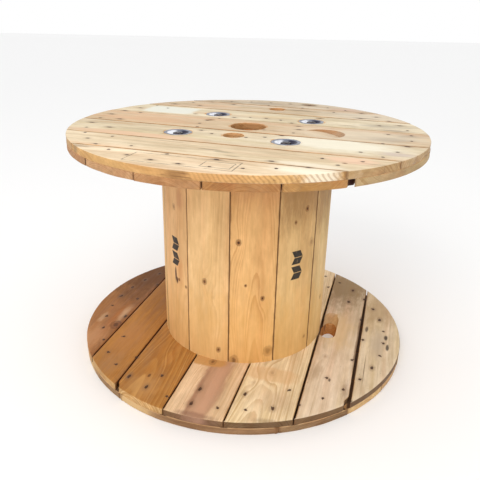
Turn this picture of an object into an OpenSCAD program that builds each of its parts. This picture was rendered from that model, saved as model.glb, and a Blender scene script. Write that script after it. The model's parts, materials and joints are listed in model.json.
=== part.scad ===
// Wooden cable drum, standing on one flange.
// Two round flanges, each nailed up from two crossed layers of boards, are held
// against a barrel of upright staves by four tie bolts with dished washers.
// +Z is the drum's axis. The origin is the middle of the face it stands on.

/* [Flanges] */
// Diameter of both flanges
flange_d = 1000; // [760:10:1400]
// Thickness of one layer of flange boards
board_t = 19; // [16:1:28]
// Direction of the outer boards of the top flange, in degrees
top_board_angle = -17.5; // [-90:0.5:90]
// Direction of the outer boards of the bottom flange, in degrees
bottom_board_angle = -15; // [-90:0.5:90]

/* [Barrel] */
// Outside diameter of the barrel
barrel_d = 500; // [400:10:620]
// Free height between the flanges, which the cable fills
traverse = 592; // [300:1:900]
// Number of staves round the barrel
stave_count = 12; // [8:1:16]
// Thickness of a stave at the middle of its width
stave_t = 24; // [18:1:30]
// Gap between one stave and the next
stave_gap = 1.2; // [0.5:0.1:3]
// Direction of one of the joints between staves, in degrees
stave_joint_angle = -99.6; // [-180:0.1:180]
// Depth of the groove in the flange that a stave stands in
groove_depth = 6; // [3:1:8]
// Clearance between a stave and each wall of its groove
groove_clearance = 0.3; // [0.2:0.1:1]

/* [Holes] */
// Diameter of the spindle hole in the middle of each flange
spindle_hole_d = 102; // [60:1:130]
// Diameter of the hole for the driving pin
drive_hole_d = 56; // [30:1:60]
// Distance of the driving hole from the drum's axis
drive_hole_r = 130; // [118:1:135]
// Diameter of the hole that the outer end of the cable is tied through
cable_hole_d = 52; // [30:1:60]
// Distance from the flange's rim to the middle of that hole
cable_hole_inset = 180; // [120:1:200]

/* [Start of the cable] */
// Width of the slot that the inner end of the cable leaves the barrel through
start_slot_w = 50; // [30:1:56]
// Distance from the barrel to the near wall of the slot
start_slot_offset = 2; // [1:1:12]
// Direction from the axis, square to the slot, in degrees
start_slot_angle = -15; // [-180:1:180]
// Length of the slot from its deep round end to its shallow tip
start_slot_length = 160; // [130:1:180]
// How far the deep end reaches past the square line from the axis
start_slot_back = 35; // [20:1:50]
// Slope of the slot's floor, in degrees
start_slot_slope = 27; // [24:1:35]
// Diameter of the pocket in the outer face for the inner end of the cable
pocket_d = 112; // [80:1:120]
// How far the middle of the pocket lies inside the barrel's outside face
pocket_inset = 31; // [25:1:40]
// Direction of the pocket from the axis, in degrees
pocket_angle = -20.6; // [-180:0.1:180]
// Wood left under the deep edge of the pocket, where it almost comes through
pocket_web = 0.5; // [0.5:0.5:6]

/* [Tie bolts] */
// Number of tie bolts
bolt_count = 4; // [3:1:6]
// Diameter of a tie bolt
bolt_d = 16; // [10:1:18]
// Clearance between a bolt and the wall of its hole
bolt_clearance = 0.5; // [0.3:0.1:1.5]
// Distance from the barrel's outside face to a bolt's axis
bolt_inset = 38; // [36:1:50]
// Direction of one of the bolts, in degrees
bolt_angle = 27; // [-90:1:90]
// Width of a nut or bolt head across its flats
nut_flats = 24; // [17:1:27]
// Height of a nut or bolt head
nut_h = 10; // [6:1:11]
// Diameter of a dished washer
washer_d = 76; // [60:1:80]
// Diameter of the washer's dish at its rim
dish_mouth_d = 60; // [44:1:64]
// Diameter of the flat floor of the dish
dish_floor_d = 32; // [30:1:36]
// Depth of the dish below the flange's face
dish_depth = 12; // [8:1:13]
// Thickness of the washer's sheet steel
washer_t = 2; // [1.5:0.5:3]

/* [Nails] */
// Diameter of a nail's head
nail_head_d = 7; // [5:0.5:9]
// Thickness of a nail's head
nail_head_t = 1.2; // [0.8:0.1:2]
// Diameter of a nail's shank
nail_d = 3.4; // [2.5:0.1:4]
// Distance from the rim to the outer ring of nails
nail_rim_inset = 50; // [35:1:60]
// Distance from the outer ring of nails to the next ring
nail_ring_gap = 62; // [50:1:80]
// Number of nails in the outer ring
rim_nail_count = 40; // [24:1:48]
// Number of nails in the next ring
second_nail_count = 20; // [12:1:24]
// Radius of the ring of nails round the spindle hole
centre_ring_r = 145; // [100:1:160]
// Number of nails in the ring round the spindle hole
centre_nail_count = 18; // [8:1:24]

/* [Hidden] */
// A board takes its share of the flange's diameter, so each list gives widths in
// proportion to each other. The second list gives the gaps between the boards.
TOP_OUTER = [[130, 130, 165, 165, 150, 135, 125], [2, 1.5, 3, 1.5, 1.5, 1.5]];
TOP_INNER = [[149, 135, 158, 160, 160, 150, 88], [3, 3, 3, 2, 2, 2]];
BOTTOM_INNER = [[123, 126, 165, 161, 160, 125, 140], [5, 3, 2.5, 2.5, 4, 2]];
BOTTOM_OUTER = [[51, 121, 128, 140, 150, 150, 135, 125], [2, 2, 2, 2, 2, 2, 2]];

flange_r = flange_d / 2;
flange_t = 2 * board_t;
barrel_r = barrel_d / 2;
drum_h = traverse + 2 * flange_t;
stave_step = 360 / stave_count;
stave_inner_r = barrel_r - stave_t;
bolt_r = barrel_r - bolt_inset;
bolt_hole_d = bolt_d + 2 * bolt_clearance;
bolt_end_h = nut_h + 1;
cable_hole_r = flange_r - cable_hole_inset;
slot_r = barrel_r + start_slot_offset + start_slot_w / 2;
pocket_r = barrel_r - pocket_inset;
pocket_slope = asin((board_t - pocket_web) / pocket_d);
nail_gap = 6;
big = 2 * flange_d;

WOOD = "burlywood";
BARREL_WOOD = "goldenrod";
STEEL = "silver";
RUST = "sienna";
$fn = 96;

function numbered(name, count) = [for (i = [1:count]) str(name, i)];
function polar(r, a) = [r * cos(a), r * sin(a)];
function total(list, upto) = upto == 0 ? 0 : list[upto - 1] + total(list, upto - 1);

// Where the joint before board i lies, measured across the boards from the axis
function joint(layer, i) =
    flange_d * (total(layer[0], i) / total(layer[0], len(layer[0])) - 0.5);

// The gap at that joint, with none at the rim
function joint_gap(layer, i) = i == 0 || i == len(layer[0]) ? 0 : layer[1][i - 1];

function bolt_at(i) = polar(bolt_r, bolt_angle + i * 360 / bolt_count);
function drive_at() = polar(drive_hole_r, top_board_angle - 90);
function cable_hole_at() = polar(cable_hole_r, top_board_angle + 90);
function pocket_at() = polar(pocket_r, pocket_angle);

// A point of the start slot, a distance s along it from the square line
function slot_at(s) =
    polar(slot_r, start_slot_angle) + polar(s, start_slot_angle + 90);

// Circles that the nails stay clear of: [middle, diameter]
function fittings() = concat(
    [for (i = [0:bolt_count - 1]) [bolt_at(i), washer_d]],
    [for (s = [-start_slot_back:20:start_slot_length]) [slot_at(s), start_slot_w]],
    [[drive_at(), drive_hole_d],
     [cable_hole_at(), cable_hole_d],
     [pocket_at(), pocket_d],
     [[0, 0], spindle_hole_d]]
);
function is_clear(p) =
    min([for (f = fittings()) norm(p - f[0]) - f[1] / 2]) > nail_gap;

// The nails of one flange, whose rings start at the given angle
function nail_places(start) = [
    for (ring = [[flange_r - nail_rim_inset, rim_nail_count],
                 [flange_r - nail_rim_inset - nail_ring_gap, second_nail_count],
                 [centre_ring_r, centre_nail_count]])
    for (i = [0:ring[1] - 1])
    let (p = polar(ring[0], start + i * 360 / ring[1]))
    if (is_clear(p)) p
];

// ---- Cuts that several boards share, from the flange's outer face at z = 0 inwards

// The hollow that a dished washer lies in: a solid of revolution below z = 0
module dish_seat() {
    rotate_extrude()
        polygon([[0, 1], [washer_d / 2, 1], [washer_d / 2, -washer_t],
                 [dish_mouth_d / 2, -washer_t],
                 [dish_floor_d / 2, -dish_depth - washer_t],
                 [0, -dish_depth - washer_t]]);
}

module nail_body() {
    translate([0, 0, -nail_head_t])
        cylinder(d = nail_head_d, h = nail_head_t, $fn = 24);
    translate([0, 0, -flange_t])
        cylinder(d = nail_d, h = flange_t, $fn = 24);
}

module nails(start) {
    for (p = nail_places(start))
        translate(p)
            nail_body();
}

// The pocket: a round cutter leaned outwards, so its floor falls towards the rim
module pocket() {
    translate(pocket_at())
        rotate([0, 0, pocket_angle])
            translate([-pocket_d / 2, 0, 0])
                rotate([0, pocket_slope, 0])
                    translate([pocket_d / 2, 0, 0])
                        cylinder(d = pocket_d, h = board_t);
}

// The start slot, from the inner face at z = 0 down into the flange: a slanted
// bore, opened into an upright round end where the cable goes through
module start_slot(depth) {
    half_w = start_slot_w / 2;
    deep_s = half_w - start_slot_back;
    tip_s = start_slot_length - start_slot_back;
    axis_s = tip_s - half_w / sin(start_slot_slope);
    above = half_w / tan(start_slot_slope) + half_w;
    below = (axis_s - deep_s) / cos(start_slot_slope);
    rotate([0, 0, start_slot_angle])
        translate([slot_r, 0, 0])
            intersection() {
                translate([-start_slot_w, -big / 2, -depth])
                    cube([2 * start_slot_w, big, depth + 1]);
                union() {
                    translate([0, deep_s, -depth])
                        cylinder(d = start_slot_w, h = depth + 1);
                    translate([-half_w, 0, 0])
                        rotate([90, 0, 90])
                            linear_extrude(height = start_slot_w)
                                polygon([[deep_s, 1], [axis_s, 1], [axis_s, 0],
                                         [deep_s, -(axis_s - deep_s) * tan(start_slot_slope)]]);
                    translate([0, axis_s, 0])
                        rotate([90 + start_slot_slope, 0, 0])
                            translate([0, 0, -above])
                                cylinder(d = start_slot_w, h = above + below);
                }
            }
}

// Everything cut out of one layer of boards. The layer lies from z = 0, its outer
// face, down to -board_t for the outer layer, or on to -flange_t for the inner one.
module flange_cuts(nail_start) {
    translate([0, 0, -flange_t - 1])
        cylinder(d = spindle_hole_d, h = flange_t + 2);
    translate([0, 0, -flange_t - 1])
        translate(drive_at())
            cylinder(d = drive_hole_d, h = flange_t + 2);
    for (i = [0:bolt_count - 1])
        translate(bolt_at(i)) {
            translate([0, 0, -flange_t - 1])
                cylinder(d = bolt_hole_d, h = flange_t + 2);
            dish_seat();
        }
    nails(nail_start);
}

// The round groove in the inner face that the staves stand in
module groove() {
    translate([0, 0, -flange_t - 1])
        difference() {
            cylinder(r = barrel_r + groove_clearance, h = groove_depth + 1);
            translate([0, 0, -1])
                cylinder(r = stave_inner_r - groove_clearance, h = groove_depth + 3);
        }
}

// One board of a round flange layer, lying along X, before anything is cut from it
module round_board(layer, i, z) {
    low = joint(layer, i) + joint_gap(layer, i) / 2;
    high = joint(layer, i + 1) - joint_gap(layer, i + 1) / 2;
    intersection() {
        translate([0, 0, z])
            cylinder(d = flange_d, h = board_t);
        translate([-flange_r - 1, low - (i == 0 ? 1 : 0), z - 1])
            cube([flange_d + 2,
                  high - low + (i == 0 ? 1 : 0) + (i == len(layer[0]) - 1 ? 1 : 0),
                  board_t + 2]);
    }
}

// ---- Top flange, built down from its outer face

module top_place() {
    translate([0, 0, drum_h])
        children();
}

top_nail_start = top_board_angle + 205.3;
bottom_nail_start = bottom_board_angle + 90 + 196.3;

module top_outer_board(i) {
    color(WOOD)
        top_place()
            difference() {
                rotate([0, 0, top_board_angle])
                    round_board(TOP_OUTER, i, -board_t);
                flange_cuts(top_nail_start);
                translate([0, 0, -flange_t - 1])
                    translate(cable_hole_at())
                        cylinder(d = cable_hole_d, h = flange_t + 2);
                pocket();
            }
}

module top_inner_board(i) {
    color(WOOD)
        top_place()
            difference() {
                rotate([0, 0, top_board_angle + 90])
                    round_board(TOP_INNER, i, -flange_t);
                flange_cuts(top_nail_start);
                translate([0, 0, -flange_t - 1])
                    translate(cable_hole_at())
                        cylinder(d = cable_hole_d, h = flange_t + 2);
                groove();
                translate([0, 0, -flange_t])
                    mirror([0, 0, 1])
                        start_slot(board_t);
            }
}

// ---- Bottom flange: the same cuts, turned over so that its outer face is at z = 0

module bottom_outer_board(i) {
    color(WOOD)
        difference() {
            rotate([0, 0, bottom_board_angle])
                round_board(BOTTOM_OUTER, i, 0);
            mirror([0, 0, 1])
                flange_cuts(bottom_nail_start);
            mirror([0, 0, 1])
                pocket();
            translate([0, 0, flange_t])
                start_slot(flange_t + 1);
        }
}

module bottom_inner_board(i) {
    color(WOOD)
        difference() {
            rotate([0, 0, bottom_board_angle + 90])
                round_board(BOTTOM_INNER, i, board_t);
            mirror([0, 0, 1]) {
                flange_cuts(bottom_nail_start);
                groove();
            }
            translate([0, 0, flange_t])
                start_slot(flange_t + 1);
        }
}

// ---- Barrel

// A stave has a flat inside face, radial edges and a rounded outside face
module stave(i) {
    far = barrel_r * 1.2;
    half = tan(stave_step / 2);
    edge = stave_gap / 2 / cos(stave_step / 2);
    color(BARREL_WOOD)
        translate([0, 0, flange_t - groove_depth])
            rotate([0, 0, stave_joint_angle + (i + 0.5) * stave_step])
                intersection() {
                    cylinder(r = barrel_r, h = traverse + 2 * groove_depth);
                    linear_extrude(height = traverse + 2 * groove_depth)
                        polygon([[stave_inner_r, -stave_inner_r * half + edge],
                                 [far, -far * half + edge],
                                 [far, far * half - edge],
                                 [stave_inner_r, stave_inner_r * half - edge]]);
                }
}

// ---- Tie bolts and their washers

// A dished washer in the outer face of a flange at z = 0
module dished_washer() {
    rotate_extrude()
        polygon([[bolt_hole_d / 2, -dish_depth], [dish_floor_d / 2, -dish_depth],
                 [dish_mouth_d / 2, 0], [washer_d / 2, 0],
                 [washer_d / 2, -washer_t], [dish_mouth_d / 2, -washer_t],
                 [dish_floor_d / 2, -dish_depth - washer_t],
                 [bolt_hole_d / 2, -dish_depth - washer_t]]);
}

module hexagon(h) {
    cylinder(d = nut_flats / cos(30), h = h, $fn = 6);
}

module top_washer(i) {
    color(STEEL)
        top_place()
            translate(bolt_at(i))
                dished_washer();
}

module bottom_washer(i) {
    color(STEEL)
        translate(bolt_at(i))
            mirror([0, 0, 1])
                dished_washer();
}

// The bolt's head lies in the bottom dish and its end stands just through the nut
module tie_bolt(i) {
    color(STEEL)
        translate(bolt_at(i)) {
            translate([0, 0, dish_depth - nut_h])
                hexagon(nut_h);
            translate([0, 0, dish_depth - 1])
                cylinder(d = bolt_d, h = drum_h - 2 * dish_depth + 1 + bolt_end_h);
        }
}

module nut(i) {
    color(STEEL)
        translate([0, 0, drum_h - dish_depth])
            translate(bolt_at(i))
                difference() {
                    hexagon(nut_h);
                    translate([0, 0, -1])
                        cylinder(d = bolt_d, h = nut_h + 2);
                }
}

// ---- Nails

module top_nails() {
    color(RUST)
        top_place()
            nails(top_nail_start);
}

module bottom_nails() {
    color(RUST)
        mirror([0, 0, 1])
            nails(bottom_nail_start);
}

for (i = [0:len(BOTTOM_OUTER[0]) - 1])
    bottom_outer_board(i);
for (i = [0:len(BOTTOM_INNER[0]) - 1])
    bottom_inner_board(i);
for (i = [0:stave_count - 1])
    stave(i);
for (i = [0:len(TOP_INNER[0]) - 1])
    top_inner_board(i);
for (i = [0:len(TOP_OUTER[0]) - 1])
    top_outer_board(i);
for (i = [0:bolt_count - 1])
    bottom_washer(i);
for (i = [0:bolt_count - 1])
    tie_bolt(i);
for (i = [0:bolt_count - 1])
    top_washer(i);
for (i = [0:bolt_count - 1])
    nut(i);
bottom_nails();
top_nails();
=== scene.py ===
import json
import math
import random

import bpy
import bmesh
import numpy as np
from mathutils import Matrix, Vector, noise
from mathutils.bvhtree import BVHTree
from mathutils.geometry import delaunay_2d_cdt

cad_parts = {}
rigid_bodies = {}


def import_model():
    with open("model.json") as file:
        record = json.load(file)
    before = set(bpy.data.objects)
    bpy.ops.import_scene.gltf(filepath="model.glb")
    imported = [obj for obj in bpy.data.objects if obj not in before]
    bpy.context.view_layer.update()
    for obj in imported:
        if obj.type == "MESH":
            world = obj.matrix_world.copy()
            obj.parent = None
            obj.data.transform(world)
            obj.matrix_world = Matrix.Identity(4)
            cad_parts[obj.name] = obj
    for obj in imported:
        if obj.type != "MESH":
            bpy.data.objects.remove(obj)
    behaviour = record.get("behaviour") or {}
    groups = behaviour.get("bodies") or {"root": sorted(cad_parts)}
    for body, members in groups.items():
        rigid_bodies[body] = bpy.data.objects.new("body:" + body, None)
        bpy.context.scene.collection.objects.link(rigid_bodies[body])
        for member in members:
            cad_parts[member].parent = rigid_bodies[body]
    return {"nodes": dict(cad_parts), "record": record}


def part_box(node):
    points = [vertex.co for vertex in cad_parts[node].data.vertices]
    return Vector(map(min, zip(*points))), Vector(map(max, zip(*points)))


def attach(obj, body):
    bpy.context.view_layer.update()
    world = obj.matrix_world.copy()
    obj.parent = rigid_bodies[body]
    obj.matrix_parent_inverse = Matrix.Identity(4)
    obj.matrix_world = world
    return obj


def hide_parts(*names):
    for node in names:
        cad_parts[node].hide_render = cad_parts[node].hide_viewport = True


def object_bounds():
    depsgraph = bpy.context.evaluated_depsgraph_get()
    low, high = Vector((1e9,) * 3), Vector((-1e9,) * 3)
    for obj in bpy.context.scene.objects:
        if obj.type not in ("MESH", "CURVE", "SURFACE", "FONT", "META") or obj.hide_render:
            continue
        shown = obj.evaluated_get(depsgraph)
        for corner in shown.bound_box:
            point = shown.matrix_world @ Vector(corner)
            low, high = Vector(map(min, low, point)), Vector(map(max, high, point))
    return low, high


# The drum's pieces are alone in the scene, so that their bounds are the drum's
for unwanted in list(bpy.data.objects):
    bpy.data.objects.remove(unwanted)
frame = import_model()
cad_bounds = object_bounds()

# ---- The view: the drum stands on its end and is seen from a little above, by
# someone standing about a metre from its rim.
EYE = (0.0, -1.5702, 0.9751)
LENS_MM, SENSOR_MM = 41.22, 36.0
NEAREST, FARTHEST = 0.05, 50.0


def put_in_scene(name, data):
    """A new object that shows a mesh, a light or a camera."""
    obj = bpy.data.objects.new(name, data)
    bpy.context.scene.collection.objects.link(obj)
    return obj


camera = put_in_scene("camera", bpy.data.cameras.new("camera"))
camera.data.lens = LENS_MM
camera.data.sensor_width = SENSOR_MM
camera.data.clip_start = NEAREST
camera.data.clip_end = FARTHEST
view_right = Vector((0.9996, 0.0188, 0.0191)).normalized()
view_back = Vector((0.01, -0.922, 0.387)).normalized()
view_up = view_back.cross(view_right).normalized()
camera.matrix_world = Matrix.Translation(EYE) @ Matrix(
    (view_right, view_up, view_back)
).transposed().to_4x4()
bpy.context.scene.camera = camera


# ---- Bottom flange, outer layer: eight sawn pine boards laid side by side. They were
# nailed to the inner layer first and then sawn round, so the rim steps a little from
# one board to the next. Weather, knots and the saw have left each board its own face.
MOUNTS = {m["name"]: m for m in frame["record"]["mounts"]}
FLANGE_R = (cad_bounds[1][0] - cad_bounds[0][0]) / 2
DRUM_H = cad_bounds[1][2]
BOARD_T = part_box("top_outer_board_4")[1].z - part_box("top_outer_board_4")[0].z
FLANGE_T = 2 * BOARD_T
TOP_ANGLE = -17.5
BOTTOM_ANGLE = -15.0
EASED_EDGE = 0.0014
BOLT_HOLE_R = 0.0086
# How far apart a board's points are along its edges, round its holes and over its faces
EDGE_STEP, HOLE_STEP, FACE_STEP = 0.006, 0.004, 0.012


def middle_of(node):
    """The middle of a CAD node's box."""
    low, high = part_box(node)
    return (low + high) / 2


def round_hole(mount):
    """Where a bore mount's hole is, and its radius."""
    x, y, _ = MOUNTS[mount]["pos_m"]
    return (x, y, MOUNTS[mount]["dims"]["r_mm"] / 1000)


def width_of(node):
    """How wide a round CAD piece is, from its box."""
    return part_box(node)[1].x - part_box(node)[0].x


BOLTS = [middle_of(f"tie_bolt_{i}").xy for i in range(1, 5)]
THROUGH_HOLES = [round_hole("spindle_bore"), round_hole("driving_bore")]
WASHER_HOLES = [(b.x, b.y, width_of("top_washer_1") / 2) for b in BOLTS]
BOLT_HOLES = [(b.x, b.y, BOLT_HOLE_R) for b in BOLTS]


def board_limits(node, angle):
    """A board's two long edges, measured across the boards from the axis."""
    turn = math.radians(angle)
    across = [
        v.co.y * math.cos(turn) - v.co.x * math.sin(turn)
        for v in frame["nodes"][node].data.vertices
    ]
    return min(across), max(across)


def outline_of_board(low, high, radius, step, narrower):
    """Points round a board that the rim cuts off, with their outward directions.
    narrower gives how far each long edge has shrunk back, at a place along the board."""
    at_low = math.asin(max(-1.0, low / radius))
    at_high = math.asin(min(1.0, high / radius))
    points, outward = [], []

    def edge(v, u_from, u_to, side):
        count = max(2, round(abs(u_to - u_from) / step))
        for k in range(1, count):
            u = u_from + (u_to - u_from) * k / count
            points.append((u, v - side * narrower(side, u)))
            outward.append((0.0, side))

    def rim(a_from, a_to):
        count = max(3, round(abs(a_to - a_from) * radius / step))
        for k in range(count + 1):
            a = a_from + (a_to - a_from) * k / count
            u, v = radius * math.cos(a), radius * math.sin(a)
            v = max(low + narrower(-1.0, u), min(high - narrower(1.0, u), v))
            points.append((u, v))
            outward.append((math.cos(a), math.sin(a)))

    if math.cos(at_low) * radius > 0.01:
        edge(low, -math.cos(at_low) * radius, math.cos(at_low) * radius, -1.0)
    rim(at_low, at_high)
    if math.cos(at_high) * radius > 0.01:
        edge(high, math.cos(at_high) * radius, -math.cos(at_high) * radius, 1.0)
    rim(math.pi - at_high, math.pi - at_low)
    return np.array(points), np.array(outward)


def outline_of_hole(centre, radius, step):
    """Points round a hole, with directions that point out of the wood, into the hole."""
    count = max(20, round(math.tau * radius / step))
    turn = np.arange(count) / count * math.tau
    ray = np.column_stack([np.cos(turn), -np.sin(turn)])
    return np.array(centre) + ray * radius, -ray


def uneven(points, seed, scale, amount):
    """Smooth unevenness at each point, from 0 to amount."""
    return np.array([
        (0.5 + 0.5 * noise.noise(Vector((p[0] * scale, p[1] * scale, seed)))) * amount
        for p in points
    ])


def finished_mesh(name, coords, faces):
    """A closed mesh object with outward faces, shaded smooth but for its sharp edges."""
    mesh = bpy.data.meshes.new(name)
    mesh.from_pydata([tuple(c) for c in coords], [], faces)
    obj = put_in_scene(name, mesh)
    shade_by_angle(obj)
    return obj


def shade_by_angle(obj, sharp=50):
    """Turns faces outwards and marks the edges that are sharper than an angle."""
    tidy = bmesh.new()
    tidy.from_mesh(obj.data)
    bmesh.ops.delete(tidy, geom=[v for v in tidy.verts if not v.link_faces], context="VERTS")
    bmesh.ops.recalc_face_normals(tidy, faces=tidy.faces)
    for face in tidy.faces:
        face.smooth = True
    for edge in tidy.edges:
        edge.smooth = edge.calc_face_angle(0.0) < math.radians(sharp)
    tidy.to_mesh(obj.data)
    tidy.free()


def board_mesh(name, low, high, z_low, angle, holes, seed, shown_face, narrower):
    """One board of a round flange, from rows of points round its outline and holes."""
    rng = random.Random(seed)
    turn = math.radians(angle)
    cos_t, sin_t = math.cos(turn), math.sin(turn)
    radius = FLANGE_R - rng.uniform(0.0001, 0.0016)
    loops = [outline_of_board(low, high, radius, EDGE_STEP, narrower)]
    for x, y, r in holes:
        u, v = x * cos_t + y * sin_t, y * cos_t - x * sin_t
        if low < v - r and v + r < high:
            loops.append(outline_of_hole((u, v), r, HOLE_STEP))
    points = np.vstack([loop[0] for loop in loops])
    outward = np.vstack([loop[1] for loop in loops])
    count = len(points)
    worn = 0.0002 + uneven(points, seed, 9.0, 0.0009) + uneven(points, seed + 3.0, 55.0, 0.0004)
    worn[len(loops[0][0]):] = uneven(points[len(loops[0][0]):], seed, 40.0, 0.0003)
    rim = points - outward * worn[:, None]

    # Rows of points down the edge: eased at both faces, a little uneven between
    levels = [
        (1.0, 0.0), (0.3, 0.3), (0.0, 1.0), (0.0, 0.34), (0.0, 0.66), (0.0, -1.0),
        (0.3, -0.3), (1.0, 0.0),
    ]
    eased = EASED_EDGE * (0.5 + uneven(points, seed + 5.0, 25.0, 1.5))
    rows = []
    for k, (back, down) in enumerate(levels):
        ring = rim - outward * (eased * back)[:, None]
        if k in (3, 4):
            ring = ring - outward * uneven(ring, seed + k, 60.0, 0.0007)[:, None]
            z = np.full(count, BOARD_T * (1.0 - down))
        elif k < 3:
            z = BOARD_T - eased * down
        else:
            z = eased * -down if k < 7 else np.zeros(count)
        rows.append(np.column_stack([ring, z]))

    # The two faces: the inset outline filled with a jittered grid of points
    face_outline = [Vector(p[:2]) for p in rows[0]]
    edges, start = [], 0
    for loop, _ in loops:
        n = len(loop)
        edges += [(start + k, start + (k + 1) % n) for k in range(n)]
        start += n
    inner = []
    for u in np.arange(-radius, radius, FACE_STEP):
        for v in np.arange(low, high, FACE_STEP):
            p = Vector((u + rng.uniform(-0.002, 0.002), v + rng.uniform(-0.002, 0.002)))
            inside = low + 0.005 < p.y - narrower(-1.0, p.x)
            inside = inside and p.y + narrower(1.0, p.x) < high - 0.005
            if not inside or p.length > radius - 0.006:
                continue
            if all((p - Vector(hole[0].mean(0))).length > np.ptp(hole[0][:, 0]) / 2 + 0.005
                   for hole in loops[1:]):
                inner.append(p)
    corners, _, triangles, *_ = delaunay_2d_cdt(face_outline + inner, edges, [], 1, 1e-7)
    keep = []
    for t in triangles:
        c = sum((corners[i] for i in t), Vector((0, 0))) / 3
        inside_hole = any(
            (c - Vector(hole[0].mean(0))).length < np.ptp(hole[0][:, 0]) / 2 - 0.0004
            for hole in loops[1:]
        )
        if not inside_hole and max(t) < count + len(inner):
            keep.append(tuple(t))

    grid = np.array([[*corners[count + k], 0.0] for k in range(len(corners) - count)])
    grid = grid.reshape(-1, 3)
    coords = np.vstack(rows + [grid + (0, 0, BOARD_T), grid])
    first_top, first_low = len(rows) * count, len(rows) * count + len(grid)
    low_row = (len(rows) - 1) * count
    faces = []
    for t in keep:
        faces.append([i if i < count else first_top + i - count for i in t])
        faces.append([low_row + i if i < count else first_low + i - count for i in reversed(t)])
    for k in range(len(rows) - 1):
        for a, b in edges:
            faces.append([k * count + b, k * count + a, (k + 1) * count + a, (k + 1) * count + b])

    # The board has cupped and dried: its shown face dips along its edges or middle
    half = (high - low) / 2
    cup = rng.uniform(-0.0004, 0.0007)
    mid = (low + high) / 2
    dip = np.array([
        abs(cup) * (((p[1] - mid) / half) ** 2 if cup > 0 else 1 - ((p[1] - mid) / half) ** 2)
        + 0.0003 * (0.5 + 0.5 * noise.noise(Vector((p[0] * 3, p[1] * 7, seed))))
        + 0.00012 * (0.5 + 0.5 * noise.noise(Vector((p[0] * 9, p[1] * 60, seed))))
        for p in coords
    ])
    share = np.clip(coords[:, 2] / BOARD_T, 0, 1)
    if shown_face < 0:
        coords[:, 2] += dip * (1 - share)
    else:
        coords[:, 2] -= dip * share
    world = np.column_stack([
        coords[:, 0] * cos_t - coords[:, 1] * sin_t,
        coords[:, 0] * sin_t + coords[:, 1] * cos_t,
        coords[:, 2] + z_low,
    ])
    return finished_mesh(name, world, faces)


def made_plain(obj, modifier):
    """Turns what a modifier makes of an object into its own plain mesh."""
    depsgraph = bpy.context.evaluated_depsgraph_get()
    done = bpy.data.meshes.new_from_object(obj.evaluated_get(depsgraph))
    obj.modifiers.remove(modifier)
    obj.data = done


def cut_from(pieces, cutter):
    """Cuts a shape out of each piece, and removes the shape."""
    for piece in pieces:
        cut = piece.modifiers.new("cut", "BOOLEAN")
        cut.operation = "DIFFERENCE"
        cut.solver = "EXACT"
        cut.object = cutter
        made_plain(piece, cut)
        shade_by_angle(piece)
    bpy.data.objects.remove(cutter)


def feed(tree, socket, value):
    """Sets a node's input, or links it if the value is itself a socket."""
    if isinstance(value, bpy.types.NodeSocket):
        tree.links.new(value, socket)
    else:
        socket.default_value = value


def node_of(tree, kind, inputs=None, **settings):
    """A shader node with its settings, and with each input set or linked."""
    made = tree.nodes.new("ShaderNode" + kind)
    for key, value in settings.items():
        setattr(made, key, value)
    for key, value in (inputs or {}).items():
        feed(tree, made.inputs[key], value)
    return made


def parts_of(tree, vector):
    """A vector's X, Y and Z, as sockets."""
    return node_of(tree, "SeparateXYZ", {0: vector}).outputs


def vector_maths(tree, operation, first, second):
    """The result of a vector maths node on sockets or triples of numbers."""
    made = node_of(tree, "VectorMath", {0: first, 1: second}, operation=operation)
    return made.outputs["Value" if operation == "DOT_PRODUCT" else "Vector"]


def maths(tree, operation, *values):
    """The result of a maths node on sockets or numbers."""
    return node_of(tree, "Math", dict(enumerate(values)), operation=operation).outputs[0]


def times(tree, first, *others):
    """The product of sockets and numbers."""
    for other in others:
        first = maths(tree, "MULTIPLY", first, other)
    return first


def ramp(tree, value, low, high, to_low=0.0, to_high=1.0):
    """A smooth step of a value from one level to another."""
    return node_of(
        tree, "MapRange",
        {"Value": value, "From Min": low, "From Max": high, "To Min": to_low, "To Max": to_high},
        interpolation_type="SMOOTHSTEP",
    ).outputs["Result"]


def cloud(tree, vector, stretch, detail=2.0, rough=0.5):
    """A noise pattern stretched by its scale along each axis, as a socket from 0 to 1."""
    sized = vector_maths(tree, "MULTIPLY", vector, stretch)
    return node_of(
        tree, "TexNoise",
        {"Vector": sized, "Scale": 1.0, "Detail": detail, "Roughness": rough},
    ).outputs["Fac"]


def blend(tree, factor, a, b, blend_type="MIX"):
    """Two colours mixed by a factor."""
    made = node_of(tree, "Mix", data_type="RGBA", blend_type=blend_type)
    for socket, value in zip((made.inputs[0], made.inputs[6], made.inputs[7]), (factor, a, b)):
        feed(tree, socket, (*value, 1.0) if isinstance(value, tuple) else value)
    return made.outputs[2]


def shade(red, green, blue):
    """A colour mixed as on a paint card, from 0 to 255, as the light it sends back."""
    return tuple((c / 255 / 12.92) if c < 11 else ((c / 255 + 0.055) / 1.055) ** 2.4
                 for c in (red, green, blue))


def group_of(name, inputs, outputs):
    """An empty node group with its inputs and outputs, ready to fill."""
    tree = bpy.data.node_groups.new(name, "ShaderNodeTree")
    for key, kind in inputs:
        tree.interface.new_socket(key, in_out="INPUT", socket_type="NodeSocket" + kind)
    for key, kind in outputs:
        tree.interface.new_socket(key, in_out="OUTPUT", socket_type="NodeSocket" + kind)
    return tree, tree.nodes.new("NodeGroupInput").outputs, tree.nodes.new("NodeGroupOutput").inputs


def use_group(tree, group, inputs):
    """A node group in use, with each input set or linked."""
    return node_of(tree, "Group", inputs, node_tree=group).outputs


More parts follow.
